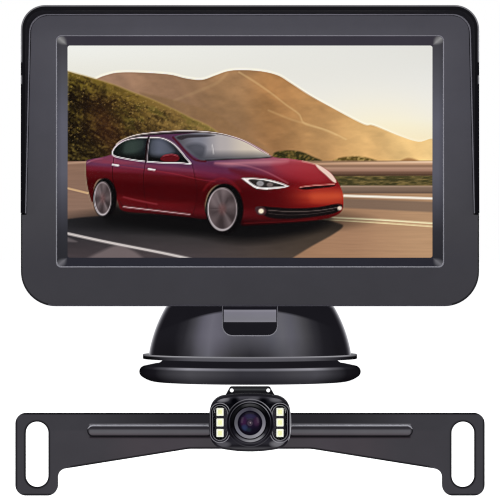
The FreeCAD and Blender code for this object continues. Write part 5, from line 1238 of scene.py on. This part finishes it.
# thin strips with painted highlights along the panel's edge and the bevel's outer edge
P_OUT = [lift(door_pts(92.18 - s, 93.88 - s, 59.13 - s, -24.0, 7.53), y) for s, y in ((0.0, FRONT + 0.35), (0.0, FRONT - 0.02), (0.12, FRONT - 0.06), (0.42, FRONT - 0.05), (0.46, FRONT + 0.02))]
open_strip("panel_edge", P_OUT, "edge_light", "bezel_plastic", "monitor")
B_OUT = [lift(rr(80.8 + s, 98.35 + 48.25 + s, 98.35 - 48.25 - s, 2.2), y) for s, y in ((0.22, FRONT + 0.02), (0.2, FRONT - 0.05), (0.0, FRONT - 0.06), (-0.3, FRONT + 0.16), (-0.3, FRONT + 0.4))]
tube("bevel_edge", B_OUT, "bezel_plastic", "monitor", weighted=False)
bpy.data.objects["bevel_edge"].data.materials.clear()
bpy.data.objects["bevel_edge"].data.materials.append(MATS["edge_light"])


# the hood's outer rim, a strip with a painted highlight: it follows the front edge, which slopes back towards the lower
# ends of the sides
def rim_pts(inset, lift_):
    """Points along the hood's front edge on one side, mirrored for the other; inset is how far inside the outer line they lie."""
    side = []
    for zz, yy in ((-23.9, -2.4), (-12, -6.1), (0, -9.9), (12, -13.8), (22, -17.2), (32, -20.6), (35.5, -21.9), (38.5, -23.2), (43, -24.5), (47, -25.0), (49, -25.0)):
        t = -yy / 25.0
        side.append((95.7 + (94.1 - 95.7) * t - inset, zz, yy))
    top, r = 61.25 - inset, 10.0 - inset
    cx, cz = 94.1 - 10.0, 61.25 - 10.0
    for i in range(0, 13):
        a = math.radians(90 * i / 12)
        side.append((cx + r * math.cos(a), cz + r * math.sin(a), -25.0))
    pts = side + [(-x, zz, yy) for x, zz, yy in reversed(side)]
    return np.array([(x, FRONT + yy + lift_, zz + MID / MM) for x, zz, yy in pts]) * MM


rim = open_strip("hood_rim_line", [rim_pts(-0.02, 0.25), rim_pts(-0.06, -0.05), rim_pts(0.48, -0.06), rim_pts(0.5, 0.03)], "hood_edge", "gloss_black", "hood")


# the camera: lit lines on the collar and the window frames
def ring_line(name, r_out, r_in, y, mat, slot="camera_black", cx=0.0):
    lathe(name, [(r_out + 0.02, y + 0.25), (r_out, y - 0.01), (r_out - 0.06, y - 0.06), (r_in + 0.06, y - 0.06), (r_in, y - 0.01), (r_in - 0.02, y + 0.2)], slot, "camera", axis="Y",
          centre=(0, 0, CZ), segs=96, weighted=False)
    o = bpy.data.objects[name]
    o.data.materials.clear()
    o.data.materials.append(MATS[mat])


CF = FRONT - 24.0
# strips with painted highlights on the collar's two lines
ring_line("collar_edge", 9.9, 9.55, CF - 0.9, "collar_line")
ring_line("collar_inner", 8.75, 8.45, CF - 0.9, "collar_line")


def stadium_ring(cx, half_w, half_h, y, n=14):
    pts = []
    for i in range(n + 1):
        a = math.pi * i / n
        pts.append((cx + half_w * math.cos(a), half_h - half_w + half_w * math.sin(a)))
    for i in range(n + 1):
        a = math.pi + math.pi * i / n
        pts.append((cx + half_w * math.cos(a), -half_h + half_w + half_w * math.sin(a)))
    return np.array([(x, y, z + CZ) for x, z in pts]) * MM


# strips with painted highlights round the LED windows
for side, tag in ((-1, "left"), (1, "right")):
    for k, (w, h, wide) in enumerate(((4.15, 8.3, 0.30), (3.2, 7.35, 0.22))):
        loops = [stadium_ring(side * 12.35, w + 0.01, h + 0.01, CF - 0.6 + 0.2), stadium_ring(side * 12.35, w - 0.02, h - 0.02, CF - 0.64),
                 stadium_ring(side * 12.35, w - wide, h - wide, CF - 0.64), stadium_ring(side * 12.35, w - wide - 0.02, h - wide - 0.02, CF - 0.55)]
        o = tube("window_frame_%s_%d" % (tag, k), loops, "camera_black", "camera", weighted=False)
        o.data.materials.clear()
        o.data.materials.append(MATS["frame_rim"])


DOME_Z = [12, 14, 17, 20, 22.2, 24, 27, 30, 32.2, 34, 36, 38, 39.5]
DOME_R = [43.9, 43.54, 42.866, 42.026, 41.3, 40.634, 39.372, 37.91, 36.7, 35.297, 33.426, 31.125, 29.0]


def slot_outline(grow):
    """The lever opening's outline, grown outwards, as (x, z) points from the upper right round the bottom to the upper left."""
    half, low, r, top = 11.45 + grow, 21.1 - grow, 4.0 + grow, 33.2
    right = [(half, z) for z in np.linspace(top, low + r, 9)[:-1]]
    right += [(half - r + r * math.cos(a), low + r - r * math.sin(a)) for a in np.linspace(0, math.pi / 2, 9)]
    right += [(x, low) for x in np.linspace(half - r, 0, 6)[1:]]
    return right + [(-x, z) for x, z in reversed(right[:-1])]


def on_dome(pts, out):
    v = []
    for x, z in pts:
        r = float(np.interp(z, DOME_Z, DOME_R)) + out
        v.append((x, -math.sqrt(r * r - x * x), z))
    return np.array(v) * MM


# a strip with a painted highlight round the lever's opening
open_strip("slot_edge_line", [on_dome(slot_outline(0.0), -0.3), on_dome(slot_outline(0.03), 0.05), on_dome(slot_outline(0.40), 0.06), on_dome(slot_outline(0.44), -0.04)], "slot_edge", "gloss_black", "base")


# ---------------------------------------------------------------- floor, lights, camera
def area(name, loc, target, sx, sy, power, colour=(1, 1, 1), cam=False):
    d = bpy.data.lights.new(name, "AREA")
    d.shape, d.size, d.size_y, d.energy, d.color = "RECTANGLE", sx, sy, power, colour
    o = bpy.data.objects.new(name, d)
    scene.collection.objects.link(o)
    o.location = loc
    o.rotation_euler = (Vector(target) - Vector(loc)).to_track_quat("-Z", "Y").to_euler()
    o.visible_camera = cam
    return o


def floor():
    m = Mat("floor_white")
    lp = m.node("LightPath")
    em = m.node("Emission")
    em.inputs["Strength"].default_value = 0.9
    em.inputs["Color"].default_value = (1, 1, 1, 1)
    df = m.node("BsdfDiffuse")
    m.link(m.span(m.noise(6.0, 2.0), 0.55, 0.57, 0.3, 0.7), df.inputs["Color"])
    blk = m.node("BsdfDiffuse")
    blk.inputs["Color"].default_value = (0.42, 0.42, 0.43, 1)
    add = m.node("AddShader")
    m.link(em.outputs[0], add.inputs[0])
    m.link(df.outputs[0], add.inputs[1])
    mx = m.node("MixShader")
    m.link(lp.outputs["Is Camera Ray"], mx.inputs[0])
    m.link(blk.outputs[0], mx.inputs[1])
    m.link(add.outputs[0], mx.inputs[2])
    m.link(mx.outputs[0], m.out.inputs["Surface"])
    me = bpy.data.meshes.new("floor")
    s, z = 30.0, -0.0475
    me.from_pydata([(-s, -s, z), (s, -s, z), (s, s, z), (-s, s, z)], [], [(0, 1, 2, 3)])
    me.materials.append(m.m)
    o = bpy.data.objects.new("floor", me)
    scene.collection.objects.link(o)


floor()

world = bpy.data.worlds.new("studio")
world.use_nodes = True
wt = world.node_tree
wt.nodes.clear()
wo = wt.nodes.new("ShaderNodeOutputWorld")
lp = wt.nodes.new("ShaderNodeLightPath")
b1 = wt.nodes.new("ShaderNodeBackground")
b1.inputs[0].default_value, b1.inputs[1].default_value = (1, 1, 1, 1), 1.0
b2 = wt.nodes.new("ShaderNodeBackground")
b2.inputs[0].default_value, b2.inputs[1].default_value = (0.92, 0.94, 1.0, 1), 0.30
mx = wt.nodes.new("ShaderNodeMixShader")
wt.links.new(lp.outputs["Is Camera Ray"], mx.inputs[0])
wt.links.new(b2.outputs[0], mx.inputs[1])
wt.links.new(b1.outputs[0], mx.inputs[2])
wt.links.new(mx.outputs[0], wo.inputs["Surface"])
scene.world = world

area("key_left", (-0.95, -0.75, 0.22), (0, -0.02, 0.05), 0.35, 0.9, 6.5)
area("key_right", (0.95, -0.75, 0.22), (0, -0.02, 0.05), 0.35, 0.9, 6.5)
area("top", (0, -0.35, 1.1), (0, -0.02, 0.05), 1.1, 0.7, 6.0)
area("front_fill", (0, -1.9, 0.75), (0, -0.05, 0.05), 1.6, 0.5, 10.0)
area("rim_left", (-0.45, 1.0, 0.15), (0, 0, 0.06), 0.25, 0.6, 1.6)
area("rim_right", (0.45, 1.0, 0.15), (0, 0, 0.06), 0.25, 0.6, 1.6)

cam_data = bpy.data.cameras.new("camera")
cam_data.sensor_width = 36.0
cam_data.lens = 276.0
cam_data.clip_start, cam_data.clip_end = 0.05, 200
cam = bpy.data.objects.new("camera", cam_data)
scene.collection.objects.link(cam)
cam.location = (0.0, -1.666, 0.0572)
cam.rotation_euler = (math.pi / 2, 0, 0)
scene.camera = cam
scene.view_settings.view_transform = "Standard"
scene.view_settings.look = "None"
scene.view_settings.exposure = 0.0
scene.view_settings.gamma = 1.0
scene.cycles.filter_width = 1.15
scene.cycles.max_bounces = 8
scene.cycles.transparent_max_bounces = 16
scene.cycles.caustics_reflective = False
scene.cycles.caustics_refractive = False
